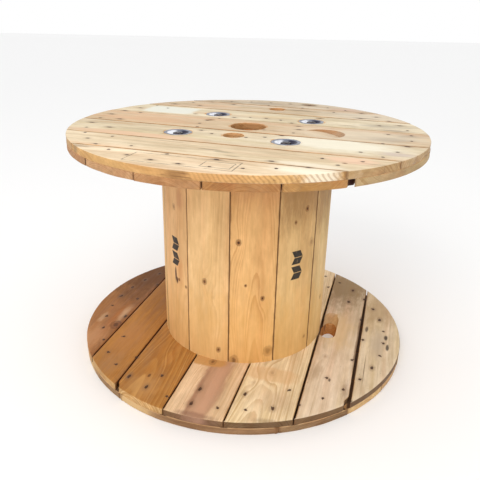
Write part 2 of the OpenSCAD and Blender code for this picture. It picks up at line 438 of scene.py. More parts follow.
def make_rings_group():
    """Growth rings of a trunk that runs along X: how late in its ring's year a point grew."""
    tree, given, result = group_of(
        "growth_rings",
        [("Grain", "Vector"), ("Pith Across", "Float"), ("Pith Below", "Float"),
         ("Ring", "Float"), ("Taper", "Float"), ("Push", "Float")],
        [("Late", "Float")],
    )
    grain = given["Grain"]
    sized = vector_maths(tree, "MULTIPLY", grain, (1.6, 5.0, 5.0))
    bend = node_of(tree, "TexNoise", {"Vector": sized, "Scale": 1.0, "Detail": 1.5})
    bent = vector_maths(tree, "SUBTRACT", bend.outputs["Color"], (0.5, 0.5, 0.5))
    moved = vector_maths(tree, "MULTIPLY", bent, (0.0, 0.035, 0.045))
    parts = parts_of(tree, vector_maths(tree, "ADD", grain, moved))
    across = maths(tree, "SUBTRACT", parts[1], given["Pith Across"])
    below = maths(tree, "ADD", parts[2], given["Pith Below"])
    distance = maths(tree, "SQRT", maths(tree, "ADD", times(tree, across, across),
                                         times(tree, below, below)))
    distance = maths(tree, "MULTIPLY_ADD", parts[0], given["Taper"], distance)
    fine = cloud(tree, grain, (14.0, 200.0, 200.0), 2.0)
    distance = maths(tree, "MULTIPLY_ADD", fine, 0.0012, distance)
    distance = maths(tree, "ADD", distance, given["Push"])
    count = maths(tree, "DIVIDE", distance, given["Ring"])
    year = node_of(tree, "TexNoise", {"W": times(tree, count, 0.33), "Scale": 1.0, "Detail": 1.0},
                   noise_dimensions="1D").outputs["Fac"]
    count = maths(tree, "MULTIPLY_ADD", year, 2.6, count)
    part = maths(tree, "FRACT", count)
    late = times(tree, ramp(tree, part, 0.15, 0.88), ramp(tree, part, 0.9, 1.0, 1.0, 0.0))
    each = node_of(tree, "TexWhiteNoise", {"W": maths(tree, "FLOOR", count)},
                   noise_dimensions="1D").outputs["Value"]
    tree.links.new(times(tree, late, ramp(tree, each, 0.0, 1.0, 0.35, 1.0)), result["Late"])
    return tree


def make_knot_group():
    """A knot at a place on a board's face: it pushes the rings aside and shows its own heart."""
    tree, given, result = group_of(
        "knot",
        [("Grain", "Vector"), ("Along", "Float"), ("Across", "Float"), ("Radius", "Float"),
         ("Darkness", "Float"), ("Push", "Float"), ("Heart", "Float"), ("Bark", "Float")],
        [("Push", "Float"), ("Heart", "Float"), ("Bark", "Float")],
    )
    wobble = cloud(tree, given["Grain"], (90.0, 90.0, 90.0), 1.0)
    parts = parts_of(tree, given["Grain"])
    along = maths(tree, "SUBTRACT", parts[0], given["Along"])
    across = maths(tree, "SUBTRACT", parts[1], given["Across"])
    squared = times(tree, across, across)
    far = times(tree, along, 0.33)
    flow = maths(tree, "DIVIDE", maths(tree, "SQRT", maths(tree, "MULTIPLY_ADD", far, far, squared)),
                 given["Radius"])
    swell = maths(tree, "POWER", 2.718, times(tree, flow, flow, -0.16))
    push = times(tree, swell, given["Radius"], 1.5)
    tree.links.new(maths(tree, "ADD", given["Push"], push), result["Push"])
    close = times(tree, along, 0.78)
    near = maths(tree, "DIVIDE",
                 maths(tree, "SQRT", maths(tree, "MULTIPLY_ADD", close, close, squared)),
                 given["Radius"])
    near = maths(tree, "MULTIPLY_ADD", maths(tree, "SUBTRACT", wobble, 0.5), 0.7, near)
    heart = times(tree, ramp(tree, near, 0.6, 1.15, 1.0, 0.0), given["Darkness"])
    tree.links.new(maths(tree, "MAXIMUM", given["Heart"], heart), result["Heart"])
    skin = times(tree, ramp(tree, near, 0.68, 0.95), ramp(tree, near, 1.0, 1.35, 1.0, 0.0))
    core = ramp(tree, near, 0.25, 0.72, 1.0, 0.0)
    bark = times(tree, maths(tree, "MAXIMUM", times(tree, skin, 0.45), core), given["Darkness"])
    tree.links.new(maths(tree, "MAXIMUM", given["Bark"], bark), result["Bark"])
    return tree


def make_patch_group():
    """A stain with an uneven edge: round at a Squareness of 2, and squarer above that."""
    tree, given, result = group_of(
        "patch",
        [("Grain", "Vector"), ("Along", "Float"), ("Across", "Float"), ("Length", "Float"),
         ("Width", "Float"), ("Edge", "Float"), ("Squareness", "Float")],
        [("Mask", "Float")],
    )
    parts = parts_of(tree, given["Grain"])
    power = given["Squareness"]
    sides = []
    for part, at, size in ((parts[0], "Along", "Length"), (parts[1], "Across", "Width")):
        side = maths(tree, "DIVIDE", maths(tree, "SUBTRACT", part, given[at]), given[size])
        sides.append(maths(tree, "POWER", maths(tree, "ABSOLUTE", side), power))
    distance = maths(tree, "POWER", maths(tree, "ADD", *sides), maths(tree, "DIVIDE", 1.0, power))
    ragged = maths(tree, "ADD", cloud(tree, given["Grain"], (14.0, 40.0, 40.0), 3.0, 0.6),
                   times(tree, cloud(tree, given["Grain"], (60.0, 260.0, 260.0), 2.0), 0.4))
    ragged = times(tree, maths(tree, "SUBTRACT", ragged, 0.7), given["Edge"], 1.6)
    distance = maths(tree, "ADD", distance, ragged)
    inner = maths(tree, "MULTIPLY_ADD", given["Edge"], -0.8, 1.0)
    outer = maths(tree, "MULTIPLY_ADD", given["Edge"], 0.4, 1.0)
    tree.links.new(ramp(tree, distance, inner, outer, 1.0, 0.0), result["Mask"])
    return tree


def make_nail_group():
    """Rust and bruised wood round each nail of one ring, a little longer along the grain."""
    tree, given, result = group_of(
        "nail_stain",
        [("Grain", "Vector"), ("Ring", "Float"), ("Start", "Float"), ("Step", "Float")],
        [("Rust", "Float"), ("Bruise", "Float")],
    )
    parts = parts_of(tree, given["Grain"])
    turn = maths(tree, "ARCTAN2", parts[1], parts[0])
    cell = maths(tree, "ROUND", maths(tree, "DIVIDE", maths(tree, "SUBTRACT", turn, given["Start"]),
                                      given["Step"]))
    nail = maths(tree, "MULTIPLY_ADD", cell, given["Step"], given["Start"])
    along = maths(tree, "SUBTRACT", parts[0], times(tree, maths(tree, "COSINE", nail), given["Ring"]))
    across = maths(tree, "SUBTRACT", parts[1], times(tree, maths(tree, "SINE", nail), given["Ring"]))
    each = node_of(tree, "TexWhiteNoise", {"W": maths(tree, "ADD", cell, times(
        tree, given["Ring"], 91.0))}, noise_dimensions="1D").outputs["Value"]
    far = times(tree, along, ramp(tree, each, 0.0, 1.0, 1.0, 0.5))
    distance = maths(tree, "SQRT", maths(tree, "MULTIPLY_ADD", far, far, times(tree, across, across)))
    ragged = maths(tree, "SUBTRACT", cloud(tree, given["Grain"], (110.0, 260.0, 260.0), 2.0, 0.6), 0.5)
    distance = maths(tree, "MULTIPLY_ADD", ragged, 0.004, distance)
    tree.links.new(ramp(tree, distance, 0.0030, 0.0052, 1.0, 0.0), result["Rust"])
    tree.links.new(times(tree, ramp(tree, distance, 0.003, 0.014, 1.0, 0.0),
                         ramp(tree, each, 0.2, 1.0, 0.25, 1.0)), result["Bruise"])
    return tree


RINGS = make_rings_group()
KNOT = make_knot_group()
PATCH = make_patch_group()
NAIL_STAIN = make_nail_group()


def nails_of(node):
    """Where each nail of a flange is: the middles of the CAD node's separate solids."""
    loose = bmesh.new()
    loose.from_mesh(frame["nodes"][node].data)
    bmesh.ops.remove_doubles(loose, verts=loose.verts, dist=1e-6)
    seen, places = set(), []
    for vert in loose.verts:
        if vert in seen:
            continue
        nail, edge = [], [vert]
        seen.add(vert)
        while edge:
            at = edge.pop()
            nail.append(at.co.xy)
            for other in (e.other_vert(at) for e in at.link_edges):
                if other not in seen:
                    seen.add(other)
                    edge.append(other)
        xs, ys = [p.x for p in nail], [p.y for p in nail]
        places.append(Vector(((min(xs) + max(xs)) / 2, (min(ys) + max(ys)) / 2)))
    loose.free()
    return sorted(places, key=lambda p: (round(p.length, 3), math.atan2(p.y, p.x)))


def nail_rings(places):
    """The rings that a flange's nails lie in: radius, a nail's angle, and the step between."""
    rings = []
    for radius in sorted({round(p.length, 3) for p in places}):
        turns = [math.atan2(p.y, p.x) for p in places if abs(p.length - radius) < 0.001]
        step = min(b - a for a, b in zip(turns, turns[1:]))
        rings.append((radius, turns[0], step))
    return rings


NAILS = {"bottom": nails_of("bottom_nails"), "top": nails_of("top_nails")}


def pine(name, to_grain, shift, tone, pith, ring=0.004, taper=0.012, contrast=0.6, rosy=0.3,
         grime=0.3, weather=0.3, knots=(), patches=(), edges=None, nails=(), cut_tone=None,
         rim_tone=None, end_grain=(1.0, 0.0, 0.0), edge_dirt=0.55, streaky=1.0,
         marks=None):
    """Sawn pine. to_grain turns object coordinates so that X runs along the grain, Y across the
    board's face and Z out of it. shift gives each board a piece of trunk of its own.

    pith is where the trunk's middle lies, ring is how wide a year's growth is, and taper is
    how fast the rings run out along the board. contrast is how much browner late wood is than
    early wood, or paler if it is below 0. rosy, grime, weather and streaky are the strengths of
    the pink bands, dirt, drying checks and streaks. A knot is (along, across, radius, darkness),
    and a patch is (along, across, half length, half width, colour, strength, edge, squareness).
    edges are the board's two long edges, which edge_dirt darkens. cut_tone tints sawn and
    drilled walls, rim_tone is the colour at the rim, and marks paints what only this board has."""
    material = bpy.data.materials.new(name)
    material.use_nodes = True
    tree = material.node_tree
    tree.nodes.clear()
    place = node_of(tree, "TexCoord").outputs
    grain = node_of(tree, "CombineXYZ", {
        k: vector_maths(tree, "DOT_PRODUCT", place["Object"], axis)
        for k, axis in enumerate(to_grain)
    }).outputs[0]
    board = vector_maths(tree, "ADD", grain, shift)

    push, heart, bark = 0.0, 0.0, 0.0
    for along, across, radius, darkness in knots:
        knot = use_group(tree, KNOT, {
            "Grain": grain, "Along": along, "Across": across, "Radius": radius,
            "Darkness": darkness, "Push": push, "Heart": heart, "Bark": bark,
        })
        push, heart, bark = knot["Push"], knot["Heart"], knot["Bark"]
    late = use_group(tree, RINGS, {
        "Grain": board, "Pith Across": pith[0], "Pith Below": pith[1], "Ring": ring,
        "Taper": taper, "Push": push,
    })["Late"]

    # Early wood is paler than the board as a whole, and late wood browner. The ends of
    # the grain show their rings more.
    facing = vector_maths(tree, "DOT_PRODUCT", place["Normal"], end_grain)
    ends = ramp(tree, maths(tree, "ABSOLUTE", facing), 0.35, 0.8)
    depth = maths(tree, "MULTIPLY_ADD", ends, 0.35, abs(contrast))
    upright = maths(tree, "ABSOLUTE", parts_of(tree, place["Normal"])[2])
    flat = vector_maths(tree, "MULTIPLY", place["Object"], (1.0, 1.0, 0.0))
    radius = node_of(tree, "VectorMath", {0: flat}, operation="LENGTH").outputs["Value"]
    at_rim = ramp(tree, radius, FLANGE_R - 0.014, FLANGE_R - 0.006)
    base = blend(tree, times(tree, ramp(tree, upright, 0.9, 0.4), at_rim), tone, rim_tone or tone)
    factors = [(1.08, 1.10, 1.12), (0.72, 0.58, 0.42)]
    if contrast < 0:
        factors.reverse()
    colour = blend(tree, 1.0, base, blend(tree, times(tree, late, depth), *factors), "MULTIPLY")

    # Fibres, streaks, and broad patches where the board is paler, browner or rosier
    fibres = cloud(tree, board, (9.0, 620.0, 620.0), 3.0, 0.6)
    streaks = cloud(tree, board, (2.4, 70.0, 70.0), 4.0, 0.6)
    broad = cloud(tree, board, (4.0, 13.0, 13.0), 4.0, 0.6)
    small = cloud(tree, board, (26.0, 75.0, 75.0), 3.0, 0.6)
    dark = times(tree, ramp(tree, fibres, 0.25, 0.75, 0.92, 1.06),
                 ramp(tree, streaks, 0.3, 0.7, 1 - 0.14 * streaky, 1 + 0.08 * streaky),
                 ramp(tree, broad, 0.32, 0.68, 0.86, 1.1),
                 ramp(tree, small, 0.3, 0.7, 0.93, 1.05))
    dark = times(tree, dark, maths(tree, "MULTIPLY_ADD", ends, -0.1, 1.0))
    colour = blend(tree, 1.0, colour, node_of(tree, "CombineColor", {
        0: maths(tree, "POWER", dark, 0.85), 1: dark, 2: maths(tree, "POWER", dark, 1.3),
    }).outputs[0], "MULTIPLY")
    bands = cloud(tree, board, (1.1, 24.0, 24.0), 2.0, 0.5)
    colour = blend(tree, times(tree, ramp(tree, bands, 0.5, 0.72), rosy), colour,
                   (0.93, 0.72, 0.62), "MULTIPLY")
    colour = blend(tree, times(tree, ramp(tree, bands, 0.48, 0.28), 0.5 * streaky), colour,
                   (1.02, 1.0, 0.84), "MULTIPLY")

    # Where the saw or drill has cut across the grain the wood is darker and more orange
    if cut_tone:
        wall = times(tree, ramp(tree, upright, 0.999, 0.93), maths(tree, "SUBTRACT", 1.0, at_rim))
        colour = blend(tree, times(tree, wall, 0.85), colour, cut_tone, "MULTIPLY")

    # Weather: thin dark checks along the grain, grey smears and brown specks of dirt
    checks = times(tree, ramp(tree, cloud(tree, board, (5.0, 190.0, 190.0), 2.0, 0.6), 0.69, 0.75),
                   ramp(tree, broad, 0.4, 0.6), weather)
    smears = times(tree, ramp(tree, cloud(tree, board, (7.0, 26.0, 26.0), 5.0, 0.68), 0.45, 0.75),
                   grime)
    specks = times(tree, ramp(tree, cloud(tree, board, (95.0, 230.0, 230.0), 2.0, 0.7), 0.66, 0.74),
                   ramp(tree, small, 0.45, 0.6), grime, 1.6)
    colour = blend(tree, times(tree, smears, 0.6), colour, shade(150, 132, 108))
    colour = blend(tree, specks, colour, shade(120, 88, 58))
    colour = blend(tree, checks, colour, shade(86, 58, 38))
    for along, across, length, width, stain, strength, edge, squareness in patches:
        mask = use_group(tree, PATCH, {
            "Grain": grain, "Along": along, "Across": across, "Length": length, "Width": width,
            "Edge": edge, "Squareness": squareness,
        })["Mask"]
        colour = blend(tree, times(tree, mask, strength), colour, stain)
    if knots:
        heart_wood = blend(tree, cloud(tree, board, (160.0, 160.0, 160.0), 2.0),
                           shade(176, 120, 66), shade(120, 72, 36))
        colour = blend(tree, times(tree, heart, 0.85), colour, heart_wood)
        colour = blend(tree, times(tree, bark, 0.92), colour, shade(66, 38, 20))
    if edges:
        side = parts_of(tree, grain)[1]
        low, high = edges
        near = maths(tree, "MINIMUM", maths(tree, "SUBTRACT", side, low),
                     maths(tree, "SUBTRACT", high, side))
        near = maths(tree, "MULTIPLY_ADD", maths(tree, "SUBTRACT", small, 0.5), 0.006, near)
        colour = blend(tree, times(tree, ramp(tree, near, 0.0004, 0.004, 1.0, 0.0), edge_dirt),
                       colour, shade(112, 72, 38))
        sideways = vector_maths(tree, "DOT_PRODUCT", place["Normal"], to_grain[1])
        joint = times(tree, ramp(tree, maths(tree, "ABSOLUTE", sideways), 0.8, 0.97),
                      ramp(tree, near, 0.018, 0.022, 1.0, 0.0),
                      maths(tree, "SUBTRACT", 1.0, at_rim))
        colour = blend(tree, times(tree, joint, 0.85), colour, shade(88, 54, 30))
    for radius, start, step in nails:
        stain = use_group(tree, NAIL_STAIN, {
            "Grain": grain, "Ring": radius, "Start": start, "Step": step,
        })
        colour = blend(tree, times(tree, stain["Bruise"], 0.55), colour, shade(122, 92, 68))
        colour = blend(tree, times(tree, stain["Rust"], 0.9), colour, shade(62, 36, 20))
    if marks:
        colour = marks(tree, grain, colour)

    relief = maths(tree, "MULTIPLY_ADD", late, 0.3, times(tree, fibres, 0.6))
    relief = maths(tree, "SUBTRACT", relief, times(tree, checks, 1.4))
    saw = cloud(tree, board, (420.0, 12.0, 12.0), 1.0)
    relief = maths(tree, "MULTIPLY_ADD", saw, 0.25, relief)
    bump = node_of(tree, "Bump", {"Strength": 0.5, "Distance": 0.0006, "Height": relief})
    shader = node_of(tree, "BsdfPrincipled", {
        "Base Color": colour, "Roughness": ramp(tree, streaks, 0.3, 0.7, 0.6, 0.8),
        "Normal": bump.outputs[0], "Specular IOR Level": 0.3,
    })
    tree.links.new(shader.outputs[0], node_of(tree, "OutputMaterial").inputs["Surface"])
    return material


def straight(side, u):
    """A long edge that hasn't shrunk back anywhere."""
    return 0.0


def lay_boards(prefix, count, angle, holes, shown_face, looks, shrunk=None):
    """One layer of a flange. looks gives each board's material settings, by its number."""
    boards = []
    turn = math.radians(angle)
    to_grain = ((math.cos(turn), math.sin(turn), 0), (-math.sin(turn), math.cos(turn), 0), (0, 0, 1))
    nails = [(r, start - turn, step) for r, start, step in nail_rings(NAILS[prefix.split("_")[0]])]
    for i in range(1, count + 1):
        node = f"{prefix}_{i}"
        low, high = board_limits(node, angle)
        seed = sum(ord(c) for c in prefix) * 10 + i
        rng = random.Random(seed)
        narrower = (shrunk or {}).get(i, straight)
        obj = board_mesh(node + "_wood", low, high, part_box(node)[0].z, angle, holes, seed + 0.5,
                         shown_face, narrower)
        look = {
            "pith": (rng.uniform(-0.05, 0.05), rng.uniform(0.03, 0.12) * rng.choice((-1, 1))),
            "ring": rng.uniform(0.0028, 0.005),
            "taper": rng.uniform(-0.02, 0.02),
            "rosy": rng.uniform(0.2, 0.5),
        }
        far = rng.uniform(3, 40)
        look.update(looks.get(i, looks[0]))
        look.setdefault("cut_tone", (0.80, 0.62, 0.38))
        look.setdefault("rim_tone", tuple(c * k for c, k in zip(look["tone"], (0.8, 0.7, 0.55))))
        # The trunk is placed by its pith, so its rings are measured from the board's middle
        look["pith"] = (look["pith"][0] + (low + high) / 2,
                        look["pith"][1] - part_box(node)[0].z - BOARD_T / 2)
        obj.data.materials.append(pine(
            node + "_pine", to_grain, (far, 0.0, 0.0), edges=(low, high), nails=nails,
            end_grain=(math.cos(turn), math.sin(turn), 0.0), **look))
        boards.append(obj)
    return boards


def fit_boards(boards, prefix):
    """Each finished board takes its CAD node's place."""
    for i, board in enumerate(boards, 1):
        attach(board, "root")
        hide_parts(f"{prefix}_{i}")


INNER_JOINTS = [-board_limits(f"bottom_inner_board_{i}", BOTTOM_ANGLE + 90)[1] for i in range(1, 7)]


def joint_gap_shade(tree, grain, colour):
    """Painted shade on the face that the inner layer's boards stand on: a dark strip under each of
    their joints, where the gap lets little light down.
    """
    along = parts_of(tree, grain)[0]
    normal = node_of(tree, "TexCoord").outputs["Normal"]
    inward = ramp(tree, parts_of(tree, normal)[2], 0.7, 0.9)
    for joint in INNER_JOINTS:
        aside = maths(tree, "ABSOLUTE", maths(tree, "SUBTRACT", along, joint))
        colour = blend(tree, times(tree, inward, ramp(tree, aside, 0.006, 0.012, 0.9, 0.0)), colour,
                       shade(66, 40, 24))
    return colour


PALE_RIM = shade(214, 178, 126)
# Each outer board has painted shade on its upper face under the inner layer's joints
OUTER_LOOKS = {
    0: {"tone": shade(206, 166, 120), "rim_tone": shade(205, 166, 120), "marks": joint_gap_shade},
    1: {"tone": shade(196, 156, 112), "rim_tone": shade(142, 106, 72), "marks": joint_gap_shade,
        "patches": [(-0.24, -0.44, 0.16, 0.07, PALE_RIM, 0.85, 0.5, 3.0)]},
    2: {"tone": shade(206, 166, 120), "rim_tone": shade(142, 110, 76), "contrast": 0.8,
        "marks": joint_gap_shade,
        "patches": [(-0.40, -0.30, 0.12, 0.08, PALE_RIM, 0.85, 0.5, 3.0)]},
    3: {"tone": shade(200, 150, 96), "rim_tone": shade(220, 184, 132), "marks": joint_gap_shade},
    5: {"tone": shade(200, 150, 96), "rim_tone": shade(226, 192, 140), "marks": joint_gap_shade},
}
bottom_outer = lay_boards("bottom_outer_board", 8, BOTTOM_ANGLE, THROUGH_HOLES + WASHER_HOLES, -1,
                          OUTER_LOOKS)


# ---- Bottom flange, inner layer: seven boards across the outer ones. It is the face
# the cable lies on, so it is stained by years of cable and floors. The boards have
# dried unevenly, and two joints on the right have opened.
def smooth_step(low, high, value):
    """0 below the first value, 1 above the second, and a smooth climb between."""
    t = max(0.0, min(1.0, (value - low) / (high - low)))
    return t * t * (3 - 2 * t)


def wide_joint(side, u):
    """The widest joint: open towards the near rim and almost shut at the far one."""
    return 0.0006 - 0.0020 * smooth_step(0.12, 0.3, u)


def slot_joint(side, u):
    """The joint beside the start slot, shut at the far rim."""
    return 0.0003 - 0.0012 * smooth_step(0.25, 0.38, u)


def between_open_joints(side, u):
    """The board between those two joints, whose corner has broken off at the near rim."""
    if side > 0:
        return slot_joint(side, u)
    return wide_joint(side, u) + 0.009 * smooth_step(-0.296, -0.322, u)


def chipped_corner(side, u):
    """A board whose corner has broken off at the near rim, on its high edge."""
    if side < 0:
        return -0.0005
    return 0.012 * smooth_step(-0.42, -0.444, u) - 0.0010


# How far each board's long edges have shrunk back. Below 0, the board has swelled.
SHRUNK = {
    1: lambda side, u: wide_joint(side, u) if side > 0 else 0.0,
    2: between_open_joints,
    3: lambda side, u: slot_joint(side, u) if side < 0 else -0.0005,
    4: lambda side, u: -0.0005,
    5: chipped_corner,
    6: lambda side, u: -0.0010 if side < 0 else 0.0,
}
UMBER = shade(96, 58, 30)
INNER_LOOKS = {
    0: {"tone": shade(200, 160, 112)},
    # Right-hand board: greyish beige, with a split and two deep bruises near its rim
    1: {"tone": shade(214, 194, 164), "rim_tone": shade(112, 84, 58), "rosy": 0.55, "contrast": 0.3,
        "pith": (0.04, 0.10), "ring": 0.006, "grime": 0.4,
        "patches": [
            (-0.16, -0.403, 0.075, 0.0012, shade(92, 62, 40), 0.8, 0.7, 2.0),
            (0.02, -0.455, 0.016, 0.006, shade(48, 36, 30), 0.9, 0.6, 2.0),
            (-0.035, -0.462, 0.018, 0.005, shade(48, 36, 30), 0.85, 0.6, 2.0),
            (0.055, -0.395, 0.018, 0.005, shade(58, 42, 32), 0.8, 0.6, 2.0),
            (-0.01, -0.43, 0.10, 0.022, shade(186, 168, 146), 0.6, 0.8, 2.0),
            (0.2, -0.43, 0.14, 0.06, shade(172, 142, 102), 0.7, 0.8, 2.0),
        ]},
    # The slot's board: beige with a yellower middle, and browner towards the far rim, where shade
    # behind the barrel is painted
    2: {"tone": shade(212, 190, 162), "rim_tone": shade(118, 88, 58), "contrast": 0.3,
        "pith": (-0.03, 0.07), "ring": 0.0065, "rosy": 0.5,
        "knots": [(-0.135, -0.288, 0.008, 0.25)],
        "patches": [
            (0.02, -0.31, 0.12, 0.05, shade(214, 182, 130), 0.55, 0.8, 2.0),
            # Painted shade behind the barrel, on the board's far part
            (0.33, -0.30, 0.17, 0.10, shade(142, 116, 78), 0.9, 0.8, 2.0),
            (-0.215, -0.272, 0.05, 0.016, shade(168, 140, 108), 0.6, 0.9, 2.0),
            (-0.245, -0.315, 0.008, 0.0035, shade(60, 42, 30), 0.8, 0.6, 2.0),
            (-0.02, -0.371, 0.16, 0.004, shade(106, 80, 56), 0.75, 0.9, 2.0),
            (-0.28, -0.36, 0.05, 0.012, shade(140, 110, 84), 0.6, 0.9, 2.0),
        ]},
    # In front of it: beige, with curly grain round a pair of knots at the barrel's foot
    3: {"tone": shade(228, 206, 168), "rim_tone": shade(116, 88, 58), "contrast": 0.7,
        "pith": (0.02, 0.045), "ring": 0.0055, "taper": 0.05, "rosy": 0.55,
        "knots": [(-0.262, -0.158, 0.010, 0.2), (-0.318, -0.118, 0.006, 0.15)],
        "patches": [
            (-0.27, -0.16, 0.034, 0.075, shade(212, 172, 122), 0.55, 0.35, 3.0),
            (-0.375, -0.19, 0.05, 0.05, shade(186, 156, 124), 0.45, 0.9, 2.0),
            (-0.46, -0.2, 0.012, 0.05, shade(120, 92, 64), 0.5, 0.9, 2.0),
        ]},
    # At the front: cream along its left edge, and a broad band of pinkish brown heartwood
    4: {"tone": shade(218, 186, 148), "rim_tone": shade(122, 90, 60), "contrast": 0.5,
        "pith": (-0.02, 0.05), "ring": 0.005, "taper": -0.03,
        "knots": [(-0.262, 0.018, 0.010, 0.55)],
        "patches": [
            (-0.38, -0.012, 0.15, 0.038, shade(176, 134, 106), 0.8, 0.45, 4.0),
            (-0.40, -0.018, 0.15, 0.016, shade(206, 160, 130), 0.5, 0.8, 3.0),
            (-0.40, 0.016, 0.12, 0.007, shade(150, 108, 82), 0.55, 0.8, 3.0),
            (-0.255, 0.03, 0.03, 0.055, shade(196, 146, 84), 0.9, 0.25, 3.0),
            (-0.49, -0.01, 0.012, 0.06, shade(122, 84, 66), 0.5, 0.8, 2.0),
        ]},
    # To the left the boards are a warm brown, and their late wood has bleached paler
    5: {"tone": shade(198, 148, 78), "rim_tone": shade(232, 196, 142), "contrast": -0.7,
        "pith": (0.02, 0.035), "ring": 0.0075, "taper": 0.06, "rosy": 0.2,
        "knots": [(-0.235, 0.150, 0.009, 0.1)],
        "patches": [
            (-0.42, 0.16, 0.05, 0.05, shade(190, 146, 92), 0.5, 0.9, 2.0),
            (-0.375, 0.165, 0.008, 0.004, UMBER, 0.8, 0.6, 2.0),
        ]},
    6: {"tone": shade(170, 116, 52), "rim_tone": shade(208, 168, 112), "contrast": 0.35,
        "pith": (0.05, 0.08), "ring": 0.005, "rosy": 0.2,
        "patches": [
            (-0.22, 0.30, 0.10, 0.05, shade(186, 130, 72), 0.6, 0.9, 2.0),
            (0.1, 0.29, 0.16, 0.08, shade(134, 88, 42), 0.6, 0.9, 2.0),
            (-0.36, 0.29, 0.06, 0.03, shade(170, 124, 76), 0.6, 0.9, 2.0),
        ]},
    # Left-hand board: mottled brown and pink, a purple knot, and rubbed chalk
    7: {"tone": shade(154, 104, 58), "rim_tone": shade(190, 146, 94), "contrast": 0.35,
        "pith": (-0.04, 0.09), "ring": 0.006, "rosy": 0.5, "grime": 0.25,
        "knots": [(-0.165, 0.378, 0.016, 0.7)],
        "patches": [
            (-0.165, 0.376, 0.024, 0.016, shade(110, 66, 50), 0.8, 0.5, 2.0),
            (-0.26, 0.42, 0.09, 0.05, shade(192, 142, 98), 0.7, 0.9, 2.0),
            (-0.09, 0.386, 0.055, 0.013, shade(206, 172, 134), 0.6, 0.9, 2.5),
            (-0.135, 0.44, 0.03, 0.01, shade(206, 172, 134), 0.5, 0.95, 2.5),
            (0.1, 0.41, 0.16, 0.06, shade(134, 90, 52), 0.7, 0.8, 2.0),
            (0.22, 0.41, 0.22, 0.12, shade(98, 60, 26), 0.85, 0.8, 2.0),
        ]},
}
bottom_inner = lay_boards("bottom_inner_board", 7, BOTTOM_ANGLE + 90, THROUGH_HOLES + BOLT_HOLES, 1,
                          INNER_LOOKS, SHRUNK)

# The slot that the cable's inner end leaves by: an upright round end against the
# barrel, then a bore that climbs at a slant and comes out of the inner face
SLOT_WIDTH, SLOT_RADIUS, SLOT_DIRECTION = 0.050, 0.277, -15.0
SLOT_SLOPE, SLOT_DEEP_END, SLOT_TIP = 27.0, -0.010, 0.125


def prism(name, outlines):
    """A closed solid between two matching outlines, given one after the other."""
    n = len(outlines) // 2
    faces = [tuple(range(n)), tuple(range(n, 2 * n))]
    faces += [(k, (k + 1) % n, n + (k + 1) % n, n + k) for k in range(n)]
    return finished_mesh(name, outlines, faces)


def slot_cutters(face_z, inward):
    """The slot's two cutting shapes at a flange's inner face. inward is -1 to cut downwards."""
    turn = math.radians(SLOT_DIRECTION)
    rise = math.tan(math.radians(SLOT_SLOPE))
    half = SLOT_WIDTH / 2
    axis_s = SLOT_TIP - half / math.sin(math.radians(SLOT_SLOPE))

    def placed(across, s, depth):
        r = SLOT_RADIUS + across
        return (r * math.cos(turn) - s * math.sin(turn), r * math.sin(turn) + s * math.cos(turn),
                face_z + inward * depth)

    # Both shapes start well clear of the face, and the upright one is a hair narrower
    clear, steps = -0.03, 24
    coords = []
    for s in (SLOT_DEEP_END, SLOT_TIP + 0.02):
        axis_depth = (axis_s - s) * rise
        coords.append(placed(half, s, clear))
        for k in range(steps + 1):
            a = math.pi * k / steps
            drop = half * math.sin(a) / math.cos(math.radians(SLOT_SLOPE))
            coords.append(placed(half * math.cos(a), s, max(axis_depth + drop, -0.029)))
        coords.append(placed(-half, s, clear))
    ramp_cutter = prism("slot_ramp", coords)

    ring = [math.tau * k / 48 for k in range(48)]
    upright = [placed(half * 0.9995 * math.cos(a), SLOT_DEEP_END + half * 0.9995 * math.sin(a), depth)
               for depth in (clear, FLANGE_T + 0.01) for a in ring]
    return ramp_cutter, prism("slot_end", upright)


for cutter in slot_cutters(FLANGE_T, -1):
    cut_from([bottom_inner[1], bottom_outer[3], bottom_outer[4]], cutter)

# The shallow pocket in the outer face that the cable's inner end is stapled into: a
# round cutter leaned over, so that the floor falls away towards the rim
POCKET_R, POCKET_AT_R, POCKET_DIRECTION, POCKET_WEB = 0.056, 0.219, -20.6, 0.0005


def pocket_cutter(face_z, inward):
    """The pocket's cutting shape at a flange's outer face. inward is -1 to cut downwards."""
    turn = math.radians(POCKET_DIRECTION)
    lean = math.asin((BOARD_T - POCKET_WEB) / (2 * POCKET_R))
    coords, sides = [], 72
    for height in (0.0, 1.3 * BOARD_T):
        for k in range(sides):
            a = math.tau * k / sides
            along = POCKET_R + POCKET_R * math.cos(a)
            x = POCKET_AT_R - POCKET_R + along * math.cos(lean) + height * math.sin(lean)
            y = POCKET_R * math.sin(a)
            depth = along * math.sin(lean) - height * math.cos(lean)
            coords.append((x * math.cos(turn) - y * math.sin(turn),
                           x * math.sin(turn) + y * math.cos(turn), face_z + inward * depth))
    return prism("pocket", coords)


cut_from([bottom_outer[3], bottom_outer[4]], pocket_cutter(0.0, 1))
fit_boards(bottom_outer, "bottom_outer_board")
fit_boards(bottom_inner, "bottom_inner_board")


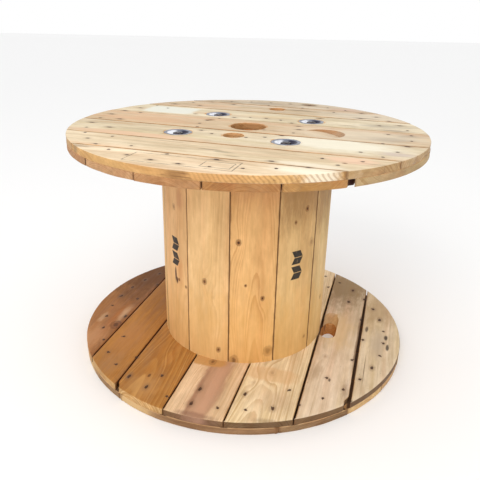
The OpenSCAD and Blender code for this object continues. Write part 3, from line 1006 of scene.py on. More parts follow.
# ---- Nails of the bottom flange: round wire nails driven through both layers from
# the outside, with their tips hammered over on the inner face. All of them have rusted.
def rusty_steel():
    """Old nail steel: dark brown rust with a few worn grey places."""
    material = bpy.data.materials.new("nail_rust")
    material.use_nodes = True
    tree = material.node_tree
    shader = tree.nodes["Principled BSDF"]
    place = node_of(tree, "TexCoord").outputs["Object"]
    spots = cloud(tree, place, (420.0, 420.0, 420.0), 3.0, 0.6)
    colour = blend(tree, ramp(tree, spots, 0.35, 0.65), shade(44, 30, 24), shade(98, 62, 40))
    worn = ramp(tree, cloud(tree, place, (160.0, 160.0, 160.0), 2.0), 0.62, 0.75)
    colour = blend(tree, times(tree, worn, 0.25), colour, shade(128, 116, 104))
    tree.links.new(colour, shader.inputs["Base Color"])
    tree.links.new(times(tree, worn, 0.3), shader.inputs["Metallic"])
    tree.links.new(ramp(tree, spots, 0.3, 0.7, 0.8, 0.5), shader.inputs["Roughness"])
    bump = node_of(tree, "Bump", {"Strength": 0.6, "Distance": 0.0004, "Height": spots})
    tree.links.new(bump.outputs[0], shader.inputs["Normal"])
    return material


NAIL_RUST = rusty_steel()
NAIL_R = 0.0016


def turned(name, profile, sides):
    """A closed shape turned round Z from a profile of (radius, height) that starts and ends
    on the axis."""
    coords, faces = [(0.0, 0.0, profile[0][1])], []
    for r, z in profile[1:-1]:
        for k in range(sides):
            a = math.tau * k / sides
            coords.append((r * math.cos(a), r * math.sin(a), z))
    coords.append((0.0, 0.0, profile[-1][1]))
    last = len(coords) - 1
    rows = len(profile) - 2
    for k in range(sides):
        n = (k + 1) % sides
        faces.append((0, 1 + n, 1 + k))
        for j in range(rows - 1):
            a, b = 1 + j * sides, 1 + (j + 1) * sides
            faces.append((a + k, a + n, b + n, b + k))
        faces.append((last, 1 + (rows - 1) * sides + k, 1 + (rows - 1) * sides + n))
    return finished_mesh(name, coords, faces)


def surface_heights(boards, places, face_z):
    """How high the boards' surface really lies at each place on a face."""
    skins = []
    for board in boards:
        skins.append(BVHTree.FromPolygons([v.co.copy() for v in board.data.vertices],
                                          [tuple(p.vertices) for p in board.data.polygons]))
    heights = []
    for place in places:
        found = [skin.find_nearest((place.x, place.y, face_z)) for skin in skins]
        heights.append(min(found, key=lambda hit: hit[3])[0].z)
    return heights


def scatter(name, points, shape, seed, tilt, sizes, material):
    """Geometry Nodes: one shape set on every point, each turned, tilted and sized by chance."""
    tree = bpy.data.node_groups.new(name + "_nodes", "GeometryNodeTree")
    tree.interface.new_socket("Geometry", in_out="INPUT", socket_type="NodeSocketGeometry")
    for key, kind in (("Shape", "Object"), ("Tilt", "Float"), ("Smallest", "Float"),
                      ("Largest", "Float"), ("Seed", "Int"), ("Finish", "Material")):
        tree.interface.new_socket(key, in_out="INPUT", socket_type="NodeSocket" + kind)
    tree.interface.new_socket("Geometry", in_out="OUTPUT", socket_type="NodeSocketGeometry")

    def add(kind, **settings):
        made = tree.nodes.new(kind)
        for key, value in settings.items():
            setattr(made, key, value)
        return made

    def chance(data_type, low, high, offset):
        made = add("FunctionNodeRandomValue", data_type=data_type)
        sockets = [s for s in made.inputs if s.enabled]
        for socket, value in zip(sockets, (low, high)):
            feed(tree, socket, value)
        shifted = add("ShaderNodeMath", operation="ADD")
        tree.links.new(given.outputs["Seed"], shifted.inputs[0])
        shifted.inputs[1].default_value = offset
        tree.links.new(shifted.outputs[0], made.inputs["Seed"])
        return [s for s in made.outputs if s.enabled][0]

    given = add("NodeGroupInput")
    lean = add("ShaderNodeCombineXYZ")
    tree.links.new(given.outputs["Tilt"], lean.inputs[0])
    tree.links.new(given.outputs["Tilt"], lean.inputs[1])
    back = add("ShaderNodeVectorMath", operation="SCALE")
    tree.links.new(lean.outputs[0], back.inputs[0])
    back.inputs["Scale"].default_value = -1.0
    lean.inputs[2].default_value = math.pi
    turn = chance("FLOAT_VECTOR", back.outputs[0], lean.outputs[0], 1)
    size = chance("FLOAT", given.outputs["Smallest"], given.outputs["Largest"], 2)
    shape_info = add("GeometryNodeObjectInfo")
    tree.links.new(given.outputs["Shape"], shape_info.inputs["Object"])
    on_points = add("GeometryNodeInstanceOnPoints")
    tree.links.new(given.outputs["Geometry"], on_points.inputs["Points"])
    tree.links.new(shape_info.outputs["Geometry"], on_points.inputs["Instance"])
    tree.links.new(turn, on_points.inputs["Rotation"])
    tree.links.new(size, on_points.inputs["Scale"])
    realize = add("GeometryNodeRealizeInstances")
    tree.links.new(on_points.outputs[0], realize.inputs[0])
    finish = add("GeometryNodeSetMaterial")
    tree.links.new(realize.outputs[0], finish.inputs["Geometry"])
    tree.links.new(given.outputs["Finish"], finish.inputs["Material"])
    result = add("NodeGroupOutput")
    tree.links.new(finish.outputs[0], result.inputs[0])

    mesh = bpy.data.meshes.new(name)
    mesh.from_pydata([tuple(p) for p in points], [], [])
    obj = put_in_scene(name, mesh)
    maker = obj.modifiers.new("scatter", "NODES")
    maker.node_group = tree
    values = {"Shape": shape, "Tilt": tilt, "Smallest": sizes[0], "Largest": sizes[1],
              "Seed": seed, "Finish": material}
    for item in tree.interface.items_tree:
        if item.in_out == "INPUT" and item.name in values:
            maker[item.identifier] = values[item.name]
    made_plain(obj, maker)
    bpy.data.objects.remove(shape)
    return obj


def joined(name, pieces):
    """Several mesh objects made into one."""
    whole = bmesh.new()
    for piece in pieces:
        whole.from_mesh(piece.data)
    mesh = bpy.data.meshes.new(name)
    whole.to_mesh(mesh)
    whole.free()
    for material in pieces[0].data.materials:
        mesh.materials.append(material)
    for piece in pieces:
        bpy.data.objects.remove(piece)
    return put_in_scene(name, mesh)


def bent_tip():
    """The end of a nail, hammered over along the wood and half sunk in it."""
    coords, faces, sides = [], [], 8
    path = [(-0.0035, -0.0015, 0.0016), (-0.001, 0.0, 0.0017), (0.002, 0.0003, 0.0016),
            (0.006, 0.0, 0.0012), (0.009, -0.0006, 0.0004)]
    for x, z, r in path:
        for k in range(sides):
            a = math.tau * k / sides
            coords.append((x, r * math.cos(a), z + r * 0.55 * math.sin(a)))
    faces = [tuple(range(sides)), tuple(range(4 * sides, 5 * sides))]
    for j in range(4):
        for k in range(sides):
            n = (k + 1) % sides
            faces.append((j * sides + k, j * sides + n, (j + 1) * sides + n, (j + 1) * sides + k))
    return finished_mesh("bent_tip", coords, faces)


def turned_over(shape):
    """The same shape upside down."""
    for vert in shape.data.vertices:
        vert.co.z = -vert.co.z
    shade_by_angle(shape)
    return shape


def nails_in_place(flange, outer_boards, inner_boards, outward):
    """A flange's nails: heads on the outer face, shanks through it and tips bent over inside."""
    places = NAILS[flange]
    tip = bent_tip() if outward < 0 else turned_over(bent_tip())
    head = turned("nail_head", [(0, -0.0012), (0.0034, -0.0012), (0.0039, -0.0004), (0.0037, 0.0002),
                                (0.0018, 0.0004), (0, 0.0003)], 14)
    head = head if outward > 0 else turned_over(head)
    shank = turned("nail_shank", [(0, -FLANGE_T), (0.0015, -FLANGE_T), (NAIL_R, -FLANGE_T + 0.0005),
                                  (NAIL_R, -0.0012), (0, -0.0011)], 8)
    face_z, inner_face_z = (DRUM_H, DRUM_H - FLANGE_T) if outward > 0 else (0.0, FLANGE_T)
    outer_z = surface_heights(outer_boards, places, face_z)
    inner_z = surface_heights(inner_boards, places, inner_face_z)
    shank_points = [(p.x, p.y, max(face_z, inner_face_z) - 0.0005) for p in places]
    heads = scatter(flange + "_heads", [(p.x, p.y, z) for p, z in zip(places, outer_z)], head,
                    11, 0.12, (0.85, 1.15), NAIL_RUST)
    shanks = scatter(flange + "_shanks", shank_points, shank, 12, 0.0, (1.0, 1.0), NAIL_RUST)
    tips = scatter(flange + "_tips", [(p.x, p.y, z) for p, z in zip(places, inner_z)], tip,
                   13, 0.05, (0.8, 1.2), NAIL_RUST)
    nails = joined(flange + "_nails_rusty", [heads, shanks, tips])
    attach(nails, "root")
    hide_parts(flange + "_nails")


nails_in_place("bottom", bottom_outer, bottom_inner, -1)


# ---- Barrel: twelve upright spruce staves, flat inside and planed round outside, that
# stand in a groove in each flange and are held only by the pull of the tie bolts. Two of
# them carry a stencil of two black chevrons that point the way the drum may be rolled.
STAVE_Z = (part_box("stave_1")[0].z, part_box("stave_1")[1].z)


def stave_mesh(name, node, seed):
    """A stave: rows of points up its height, each round its section."""
    rng = random.Random(seed)
    co = np.array([v.co for v in frame["nodes"][node].data.vertices])
    mid = co.mean(0)
    angle = math.atan2(mid[1], mid[0])
    out = co[:, 0] * math.cos(angle) + co[:, 1] * math.sin(angle)
    side = co[:, 1] * math.cos(angle) - co[:, 0] * math.sin(angle)
    barrel_r = float(np.hypot(co[:, 0], co[:, 1]).max())
    inner_r = float(out.min())
    # The edges lie on two lines through the widest inner and outer points
    inner_w = float(side[out < inner_r + 0.0005].max())
    outer_a = float(np.arctan2(side, out).max())
    columns = 18
    tight = rng.uniform(0.0001, 0.0004)
    section = []
    for k in range(columns + 1):
        a = outer_a * (2 * k / columns - 1)
        section.append((barrel_r * math.cos(a), barrel_r * math.sin(a)))
    section = [(x, y - math.copysign(tight, y)) for x, y in section]
    edge_w = section[-1][1]
    eased = rng.uniform(0.0012, 0.0020)
    section[0] = (section[0][0] - eased, section[0][1])
    section[-1] = (section[-1][0] - eased, section[-1][1])
    section.insert(1, (barrel_r * math.cos(outer_a) - eased * 0.3, -edge_w + eased * 0.3))
    section.insert(-1, (barrel_r * math.cos(outer_a) - eased * 0.3, edge_w - eased * 0.3))
    section += [(inner_r, inner_w - tight), (inner_r, -inner_w + tight)]
    rows = max(2, round((STAVE_Z[1] - STAVE_Z[0]) / 0.012))
    n = len(section)
    coords = []
    for j in range(rows + 1):
        z = STAVE_Z[0] + (STAVE_Z[1] - STAVE_Z[0]) * j / rows
        for k, (x, y) in enumerate(section):
            sunk = 0.0
            if k < n - 2:
                sunk = 0.00035 * (1 + noise.noise(Vector((z * 4, y * 25, seed))))
                sunk += 0.00008 * (1 + noise.noise(Vector((z * 15, y * 220, seed))))
            at_edge = k in (0, n - 3)
            narrow = 0.0003 * (1 + noise.noise(Vector((z * 7, y, seed + 9)))) if at_edge else 0
            yy = y - math.copysign(narrow, y)
            xx = x - sunk
            coords.append((xx * math.cos(angle) - yy * math.sin(angle),
                           xx * math.sin(angle) + yy * math.cos(angle), z))
    faces = [tuple(reversed(range(n))), tuple(range(rows * n, rows * n + n))]
    for j in range(rows):
        for k in range(n):
            a, b = j * n + k, j * n + (k + 1) % n
            faces.append((a, b, b + n, a + n))
    return finished_mesh(name, coords, faces), angle, barrel_r, edge_w


CHEVRON_HALF_H, CHEVRON_HALF_W, CHEVRON_SOFT = 0.0194, 0.0140, 0.0010
CHEVRON_MIDDLES = (0.020, 0.066)


def chevrons(low, across_at):
    """Two bold black chevrons, one above the other, sprayed through a worn stencil."""
    def paint(tree, grain, colour):
        parts = parts_of(tree, grain)
        mask = 0.0
        for middle in CHEVRON_MIDDLES:
            height = maths(tree, "ABSOLUTE", maths(tree, "SUBTRACT", parts[0], low + middle))
            across = maths(tree, "SUBTRACT", parts[1], across_at + 0.004)
            slant = maths(tree, "ABSOLUTE", maths(tree, "MULTIPLY_ADD", height, 0.5, across))
            one = times(
                tree, ramp(tree, slant, CHEVRON_HALF_W, CHEVRON_HALF_W + CHEVRON_SOFT, 1.0, 0.0),
                ramp(tree, height, CHEVRON_HALF_H, CHEVRON_HALF_H + CHEVRON_SOFT, 1.0, 0.0))
            # The stencil's bridge leaves a bare strip across the chevron's point
            one = times(tree, one, ramp(tree, height, 0.0006, 0.0014, 0.2, 1.0))
            mask = maths(tree, "MAXIMUM", mask, one)
        worn = ramp(tree, cloud(tree, grain, (60.0, 300.0, 300.0), 4.0, 0.7), 0.3, 0.42, 0.6, 0.97)
        return blend(tree, times(tree, mask, worn), colour, shade(38, 36, 34))
    return paint


def stave_look(i):
    """The settings of one stave's wood, from its number round the barrel."""
    looks = {
        1: {"tone": shade(224, 176, 116), "pith": (0.012, 0.03), "ring": 0.0085, "taper": 0.075,
            "contrast": 0.55,
            "knots": [(0.413, -0.041, 0.007, 1.0), (0.247, 0.027, 0.0055, 1.0),
                      (0.287, -0.020, 0.0038, 1.0), (0.074, 0.049, 0.013, 0.35),
                      (0.045, -0.048, 0.012, 0.6)],
            "patches": [(0.074, 0.049, 0.016, 0.014, shade(196, 146, 76), 0.5, 0.6, 2.0),
                        # Painted shadow of the top flange, at the top of the stave
                        (0.60, 0.0, 0.09, 0.15, shade(186, 132, 84), 0.6, 0.9, 2.0)]},
        12: {"tone": shade(224, 184, 130), "pith": (-0.03, 0.05), "ring": 0.006, "contrast": 0.3,
             "knots": [(0.284, -0.007, 0.007, 0.8), (0.074, 0.036, 0.0065, 0.8),
                       (0.24, 0.02, 0.005, 0.1)]},
        11: {"tone": shade(216, 172, 120), "pith": (0.05, 0.07), "ring": 0.0055, "contrast": 0.3,
             "knots": [(0.518, 0.070, 0.005, 0.8), (0.474, 0.008, 0.007, 0.45),
                       (0.246, 0.056, 0.004, 0.8)],
             "patches": [
                 (0.270, 0.010, 0.024, 0.0050, shade(62, 24, 20), 0.95, 0.6, 2.0),
                 (0.254, 0.017, 0.012, 0.0050, shade(62, 24, 20), 0.95, 0.6, 2.0),
                 (0.258, 0.0265, 0.006, 0.0055, shade(66, 28, 22), 0.95, 0.5, 2.0),
                 (0.285, 0.032, 0.05, 0.014, shade(198, 138, 82), 0.55, 0.8, 2.0),
                 (0.50, 0.035, 0.035, 0.016, shade(186, 132, 92), 0.5, 0.8, 2.0),
             ],
             "marks": chevrons(0.299, 0.012)},
        10: {"tone": shade(214, 172, 118), "knots": [(0.15, 0.02, 0.005, 0.6)]},
        2: {"tone": shade(212, 174, 118), "pith": (-0.06, 0.09), "ring": 0.006, "contrast": 0.2,
            "knots": [(0.491, 0.023, 0.006, 0.9), (0.459, -0.015, 0.004, 0.8),
                      (0.388, 0.049, 0.010, 0.3), (0.085, 0.047, 0.005, 0.4)],
            # Painted shadow of the top flange, at the top of the stave
            "patches": [(0.57, 0.02, 0.13, 0.12, shade(136, 96, 56), 0.6, 0.9, 2.0)],
            "marks": chevrons(0.289, -0.001)},
        3: {"tone": shade(210, 180, 128), "pith": (0.05, 0.08), "ring": 0.005, "contrast": 0.25,
            "knots": [(0.179, 0.006, 0.006, 0.6)],
            # Painted shadow of the top flange, at the top of the stave
            "patches": [(0.56, 0.0, 0.14, 0.12, shade(130, 92, 54), 0.65, 0.9, 2.0)]},
    }
    rng = random.Random(500 + i)
    look = {
        "tone": shade(216, 174, 118), "pith": (rng.uniform(-0.05, 0.05), rng.uniform(0.03, 0.1)),
        "ring": rng.uniform(0.004, 0.0065), "contrast": 0.3, "taper": rng.uniform(-0.02, 0.02),
        "knots": [(rng.uniform(0.1, 0.6), rng.uniform(-0.05, 0.05), rng.uniform(0.004, 0.009), 0.8)
                  for _ in range(2)],
    }
    look.update(looks.get(i, {}))
    return look


for i in range(1, 13):
    node = f"stave_{i}"
    stave, angle, barrel_r, edge_w = stave_mesh(node + "_wood", node, 100.0 + i)
    look = stave_look(i)
    look["pith"] = (look["pith"][0], look["pith"][1] - barrel_r)
    # The barrel is yellower low down, where old varnish has stayed on
    look["patches"] = [(0.04, 0.0, 0.22, 0.3, shade(222, 166, 86), 0.38, 0.9, 3.0)] + list(
        look.get("patches", []))
    # X of the grain runs up the stave, Y round the barrel and Z outwards
    to_grain = ((0, 0, 1), (-math.sin(angle), math.cos(angle), 0),
                (math.cos(angle), math.sin(angle), 0))
    stave.data.materials.append(pine(
        node + "_pine", to_grain, (random.Random(i).uniform(3, 40), 0.0, 0.0), rosy=0.3, grime=0.03,
        weather=0.15, edges=(-edge_w, edge_w), end_grain=(0, 0, 1),
        edge_dirt=0.3 if i in (11, 12) else 0.6, streaky=0.4, **look))
    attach(stave, "root")
    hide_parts(node)


# ---- Top flange: the same build, with the hole near the rim that the outer end of the
# cable is tied through. Its outer face has bleached to a pale straw colour.
def broken_corner(side, u):
    """A board of the top inner layer whose corner has come away at the near rim."""
    return 0.011 * smooth_step(-0.340, -0.349, u) if side < 0 else 0.0


# Painted shade for the hollow where a corner of the top inner layer has broken away
HOLLOW_SHADE = shade(52, 20, 16)
TOP_INNER_LOOKS = {
    0: {"tone": shade(206, 160, 108), "rim_tone": shade(172, 134, 96)},
    1: {"tone": shade(206, 162, 112), "rim_tone": shade(180, 152, 112), "contrast": 0.35},
    2: {"tone": shade(200, 150, 92), "rim_tone": shade(186, 140, 84), "contrast": 0.4,
        # Painted shade in the broken corner's hollow
        "patches": [(-0.347, -0.344, 0.014, 0.010, HOLLOW_SHADE, 1.0, 0.1, 6.0)]},
    3: {"tone": shade(196, 146, 92), "rim_tone": shade(178, 128, 78), "contrast": 0.4},
    4: {"tone": shade(204, 156, 104), "rim_tone": shade(184, 136, 92), "contrast": 0.5},
    5: {"tone": shade(206, 158, 110), "rim_tone": shade(190, 148, 108), "contrast": 0.5,
        "patches": [(-0.38, 0.185, 0.03, 0.024, shade(196, 120, 70), 0.6, 0.3, 6.0)]},
    6: {"tone": shade(200, 152, 104), "rim_tone": shade(176, 132, 92), "contrast": 0.5},
    7: {"tone": shade(200, 156, 108), "rim_tone": shade(170, 134, 92), "contrast": 0.5},
}


def stamped_frame(tree, grain, colour):
    """The faint outline of an empty rubber-stamp box, mostly worn away."""
    parts = parts_of(tree, grain)
    mask = 0.0
    for half_length, half_width in ((0.128, 0.036), (0.034, 0.022)):
        middle = -0.016 if half_length > 0.1 else 0.068
        x = maths(tree, "DIVIDE", maths(tree, "ABSOLUTE", maths(tree, "SUBTRACT", parts[0], middle)),
                  half_length)
        y = maths(tree, "DIVIDE", maths(tree, "ABSOLUTE", maths(tree, "ADD", parts[1], 0.427)),
                  half_width)
        gap_x = maths(tree, "ABSOLUTE", times(tree, maths(tree, "SUBTRACT", x, 1.0), half_length))
        gap_y = maths(tree, "ABSOLUTE", times(tree, maths(tree, "SUBTRACT", y, 1.0), half_width))
        on_x = times(tree, ramp(tree, gap_x, 0.0008, 0.002, 1.0, 0.0),
                     ramp(tree, y, 1.0, 1.02, 1.0, 0.0))
        on_y = times(tree, ramp(tree, gap_y, 0.0008, 0.002, 1.0, 0.0),
                     ramp(tree, x, 1.0, 1.02, 1.0, 0.0))
        mask = maths(tree, "MAXIMUM", mask, maths(tree, "MAXIMUM", on_x, on_y))
    worn = ramp(tree, cloud(tree, grain, (40.0, 120.0, 120.0), 4.0, 0.7), 0.40, 0.54, 0.25, 0.85)
    colour = blend(tree, times(tree, mask, worn), colour, shade(96, 84, 72))
    # The saw has cut this board's rings at a slant, so they cross its rim as stripes
    normal = node_of(tree, "TexCoord").outputs["Normal"]
    upright = maths(tree, "ABSOLUTE", parts_of(tree, normal)[2])
    sway = cloud(tree, grain, (8.0, 8.0, 40.0), 2.0)
    slant = maths(tree, "MULTIPLY_ADD", parts[2], 0.55, parts[0])
    slant = maths(tree, "DIVIDE", maths(tree, "MULTIPLY_ADD", sway, 0.02, slant), 0.0105)
    stripe = maths(tree, "ABSOLUTE", maths(tree, "SUBTRACT", maths(tree, "FRACT", slant), 0.5))
    stripe = times(tree, ramp(tree, stripe, 0.12, 0.3, 1.0, 0.0), ramp(tree, upright, 0.9, 0.4),
                   ramp(tree, parts[0], -0.06, 0.14, 0.06, 0.4))
    return blend(tree, stripe, colour, shade(140, 98, 58))


def pocket_edge(tree, grain, colour):
    """Grime along the pocket's deep edge, where cable ends have rubbed it."""
    parts = parts_of(tree, grain)
    turn = math.radians(POCKET_DIRECTION - TOP_ANGLE)
    along = maths(tree, "SUBTRACT", parts[0], POCKET_AT_R * math.cos(turn))
    across = maths(tree, "SUBTRACT", parts[1], POCKET_AT_R * math.sin(turn))
    away = maths(tree, "SQRT", maths(tree, "ADD", times(tree, along, along),
                                     times(tree, across, across)))
    ragged = maths(tree, "SUBTRACT", cloud(tree, grain, (60.0, 90.0, 90.0), 3.0, 0.6), 0.5)
    away = maths(tree, "ABSOLUTE", maths(tree, "SUBTRACT", maths(
        tree, "MULTIPLY_ADD", ragged, 0.003, away), POCKET_R))
    # It is thickest on the side that lies away from the axis and towards the back
    side = ramp(tree, maths(tree, "MULTIPLY_ADD", along, 0.7, across), -0.02, 0.03, 0.0, 0.4)
    return blend(tree, times(tree, ramp(tree, away, 0.0012, 0.0035, 1.0, 0.0), side), colour,
                 shade(140, 88, 46))


GREY_BROWN = shade(120, 96, 70)
SMOKE = shade(132, 122, 110)
TOP_OUTER_LOOKS = {
    0: {"tone": shade(226, 200, 164)},
    1: {"tone": shade(228, 205, 173), "rim_tone": shade(208, 164, 106), "contrast": 0.34,
        "pith": (0.05, 0.06), "ring": 0.0085, "rosy": 0.3, "grime": 0.18,
        "patches": [
            # Painted highlight towards the right end of the board
            (0.26, -0.40, 0.10, 0.03, shade(248, 240, 218), 0.7, 0.8, 2.0),
            (-0.31, -0.39, 0.04, 0.010, GREY_BROWN, 0.55, 0.9, 2.0),
            (0.08, -0.372, 0.03, 0.004, shade(140, 118, 92), 0.5, 0.8, 2.0),
        ],
        "marks": stamped_frame},
    2: {"tone": shade(219, 199, 167), "rim_tone": shade(186, 152, 108), "contrast": 0.32,
        "pith": (-0.02, 0.05), "ring": 0.007, "rosy": 0.45, "grime": 0.22,
        "knots": [(0.32, -0.305, 0.005, 0.7)],
        "patches": [
            (-0.002, -0.300, 0.030, 0.004, shade(120, 104, 84), 0.75, 0.7, 2.0),
            (0.035, -0.312, 0.024, 0.007, shade(150, 136, 108), 0.6, 0.9, 2.0),
            (0.072, -0.342, 0.022, 0.003, GREY_BROWN, 0.8, 0.7, 2.0),
            (0.36, -0.29, 0.05, 0.0022, shade(110, 84, 62), 0.85, 0.6, 2.0),
            (0.33, -0.275, 0.06, 0.03, shade(236, 196, 166), 0.7, 0.7, 2.0),
            (-0.12, -0.262, 0.05, 0.004, shade(150, 128, 96), 0.5, 0.8, 2.0),
            # Painted highlight towards the right end of the board
            (0.25, -0.35, 0.10, 0.02, shade(250, 242, 222), 0.5, 0.8, 2.0),
        ]},
    3: {"tone": shade(213, 196, 166), "rim_tone": shade(190, 160, 120), "contrast": 0.3,
        "pith": (0.05, 0.07), "ring": 0.006, "rosy": 0.4, "grime": 0.2,
        "patches": [
            (-0.24, -0.215, 0.20, 0.022, shade(226, 184, 148), 0.7, 0.6, 3.0),
            # Painted highlight towards the right end of the board
            (0.27, -0.13, 0.17, 0.07, shade(238, 232, 212), 0.8, 0.7, 2.5),
            (-0.36, -0.10, 0.08, 0.012, shade(196, 156, 110), 0.4, 0.8, 2.0),
            (0.42, -0.18, 0.05, 0.02, shade(190, 172, 166), 0.6, 0.9, 2.0),
        ]},
    4: {"tone": shade(208, 183, 150), "rim_tone": shade(190, 158, 120), "contrast": 0.36,
        "pith": (-0.03, 0.045), "ring": 0.0065, "taper": 0.03, "rosy": 0.6, "grime": 0.25,
        "marks": pocket_edge,
        "knots": [(-0.135, 0.048, 0.011, 0.7), (0.055, -0.03, 0.006, 0.7)],
        "patches": [
            (-0.30, -0.01, 0.16, 0.05, shade(214, 170, 132), 0.6, 0.8, 2.5),
            (-0.10, -0.071, 0.3, 0.003, shade(196, 140, 84), 0.6, 0.8, 2.0),
            (0.09, -0.03, 0.03, 0.003, shade(120, 86, 60), 0.6, 0.8, 2.0),
            # Painted highlight towards the right end of the board
            (0.32, 0.0, 0.20, 0.09, shade(216, 204, 182), 0.6, 0.9, 2.0),
            (0.40, -0.02, 0.07, 0.03, SMOKE, 0.35, 0.95, 2.0),
            (0.44, 0.04, 0.04, 0.02, SMOKE, 0.4, 0.95, 2.0),
        ]},
    5: {"tone": shade(218, 203, 174), "rim_tone": shade(190, 156, 116), "contrast": 0.4,
        "pith": (0.02, 0.05), "ring": 0.006, "rosy": 0.35, "grime": 0.35,
        "knots": [(0.165, 0.215, 0.010, 0.8), (-0.215, 0.125, 0.006, 0.8)],
        "patches": [
            (-0.315, 0.163, 0.085, 0.056, shade(226, 227, 216), 0.85, 0.22, 8.0),
            (0.02, 0.17, 0.10, 0.03, shade(206, 172, 120), 0.4, 0.9, 2.0),
            (0.36, 0.16, 0.08, 0.03, SMOKE, 0.45, 0.95, 2.0),
            (0.27, 0.13, 0.03, 0.004, GREY_BROWN, 0.7, 0.8, 2.0),
            (0.40, 0.11, 0.05, 0.012, shade(150, 130, 112), 0.6, 0.9, 2.0),
        ]},
    6: {"tone": shade(212, 192, 164), "rim_tone": shade(186, 150, 110), "contrast": 0.5,
        "pith": (0.04, 0.06), "ring": 0.005, "rosy": 0.5, "grime": 0.45,
        "patches": [
            (0.075, 0.325, 0.05, 0.007, shade(120, 96, 66), 0.8, 0.8, 2.0),
            (-0.22, 0.30, 0.10, 0.03, shade(222, 182, 146), 0.5, 0.8, 2.0),
            (0.24, 0.31, 0.09, 0.02, SMOKE, 0.35, 0.95, 2.0),
            # Painted highlight towards the right end of the board
            (0.30, 0.30, 0.16, 0.06, shade(222, 210, 188), 0.6, 0.95, 2.0),
            (0.30, 0.27, 0.05, 0.006, GREY_BROWN, 0.7, 0.8, 2.0),
            (-0.10, 0.34, 0.07, 0.008, GREY_BROWN, 0.45, 0.9, 2.0),
        ]},
    7: {"tone": shade(204, 188, 165), "rim_tone": shade(186, 150, 110), "contrast": 0.5,
        "pith": (-0.03, 0.05), "ring": 0.0055, "rosy": 0.4, "grime": 0.5,
        "knots": [(0.08, 0.45, 0.018, 0.7)],
        "patches": [
            (0.08, 0.45, 0.032, 0.020, shade(132, 122, 96), 0.75, 0.7, 2.0),
            (-0.08, 0.42, 0.08, 0.02, SMOKE, 0.45, 0.95, 2.0),
            (0.22, 0.40, 0.06, 0.02, shade(206, 160, 140), 0.5, 0.9, 2.0),
            (-0.2, 0.41, 0.05, 0.010, GREY_BROWN, 0.6, 0.9, 2.0),
        ]},
}
for look in list(TOP_OUTER_LOOKS.values()) + list(TOP_INNER_LOOKS.values()):
    look["weather"] = 0.6
    look["cut_tone"] = (0.92, 0.56, 0.28)
TOP_HOLES = THROUGH_HOLES + [round_hole("cable_end_hole")]
top_inner = lay_boards("top_inner_board", 7, TOP_ANGLE + 90, TOP_HOLES + BOLT_HOLES, -1,
                       TOP_INNER_LOOKS, {2: broken_corner})
top_outer = lay_boards("top_outer_board", 7, TOP_ANGLE, TOP_HOLES + WASHER_HOLES, 1, TOP_OUTER_LOOKS)
for cutter in slot_cutters(DRUM_H - FLANGE_T, 1):
    cut_from([top_inner[1]], cutter)
cut_from([top_outer[3]], pocket_cutter(DRUM_H, -1))
fit_boards(top_inner, "top_inner_board")
fit_boards(top_outer, "top_outer_board")
nails_in_place("top", top_outer, top_inner, 1)


# ---- Tie bolts: a galvanized bolt at each quarter of the barrel pulls the flanges
# together through pressed washers, whose dish keeps the nut below the face.
def galvanized(name, tone, dirt, dished):
    """Zinc on steel: grey and a little blue, cloudy, with patches of dirt. A dished piece also gets a
    painted highlight, a painted dark reflection and painted shade deep in its dish.
    """
    material = bpy.data.materials.new(name)
    material.use_nodes = True
    tree = material.node_tree
    shader = tree.nodes["Principled BSDF"]
    shader.inputs["Metallic"].default_value = 1.0
    place = node_of(tree, "TexCoord").outputs["Object"]
    cloudy = cloud(tree, place, (60.0, 60.0, 60.0), 4.0, 0.65)
    fine = cloud(tree, place, (900.0, 900.0, 900.0), 2.0)
    colour = blend(tree, ramp(tree, cloudy, 0.3, 0.7), tuple(c * 0.72 for c in tone), tone)
    dull = times(tree, ramp(tree, cloud(tree, place, (110.0, 110.0, 110.0), 4.0, 0.7), 0.5, 0.68), dirt)
    if dished:
        # Painted reflection in the dish: a highlight on the walls that face +X and a dark reflection on
        # those that face -X
        height = parts_of(tree, place)[2]
        depth = maths(tree, "MINIMUM", height, maths(tree, "SUBTRACT", DRUM_H, height))
        sideways = parts_of(tree, node_of(tree, "TexCoord").outputs["Normal"])[0]
        inside = ramp(tree, depth, 0.0006, 0.0014)
        colour = blend(tree, times(tree, inside, ramp(tree, sideways, 0.02, 0.3)), colour,
                       shade(246, 248, 255))
        colour = blend(tree, times(tree, inside, ramp(tree, sideways, 0.0, -0.3)), colour,
                       shade(62, 62, 78))
        # Painted shade deep in the dish, round the bolt
        colour = blend(tree, ramp(tree, depth, 0.008, 0.0115), colour, shade(64, 58, 62))
    colour = blend(tree, dull, colour, shade(74, 64, 58))
    tree.links.new(colour, shader.inputs["Base Color"])
    tree.links.new(maths(tree, "MULTIPLY_ADD", dull, 0.35, ramp(tree, cloudy, 0.3, 0.7, 0.4, 0.26)),
                   shader.inputs["Roughness"])
    bump = node_of(tree, "Bump", {"Strength": 0.25, "Distance": 0.0003, "Height": maths(
        tree, "ADD", fine, cloudy)})
    tree.links.new(bump.outputs[0], shader.inputs["Normal"])
    return material


WASHER_ZINC = galvanized("washer_zinc", shade(146, 152, 168), 0.35, True)
# The bolts and nuts are a much darker grey than the washers: painted shade for their place deep in the
# dishes, as well as heavy dirt
BOLT_ZINC = galvanized("bolt_zinc", shade(84, 78, 84), 0.9, False)
WASHER_D = width_of("top_washer_1")
DISH_DEPTH, WASHER_T = 0.012, 0.002
BOLT_D, NUT_FLATS, NUT_H = 0.016, 0.024, 0.010


def in_place(obj, place, up):
    """Moves a mesh to its place on the drum, turned over if up is -1."""
    for vert in obj.data.vertices:
        vert.co = Vector((vert.co.x, vert.co.y, vert.co.z * up)) + Vector(place)
    shade_by_angle(obj, 32)


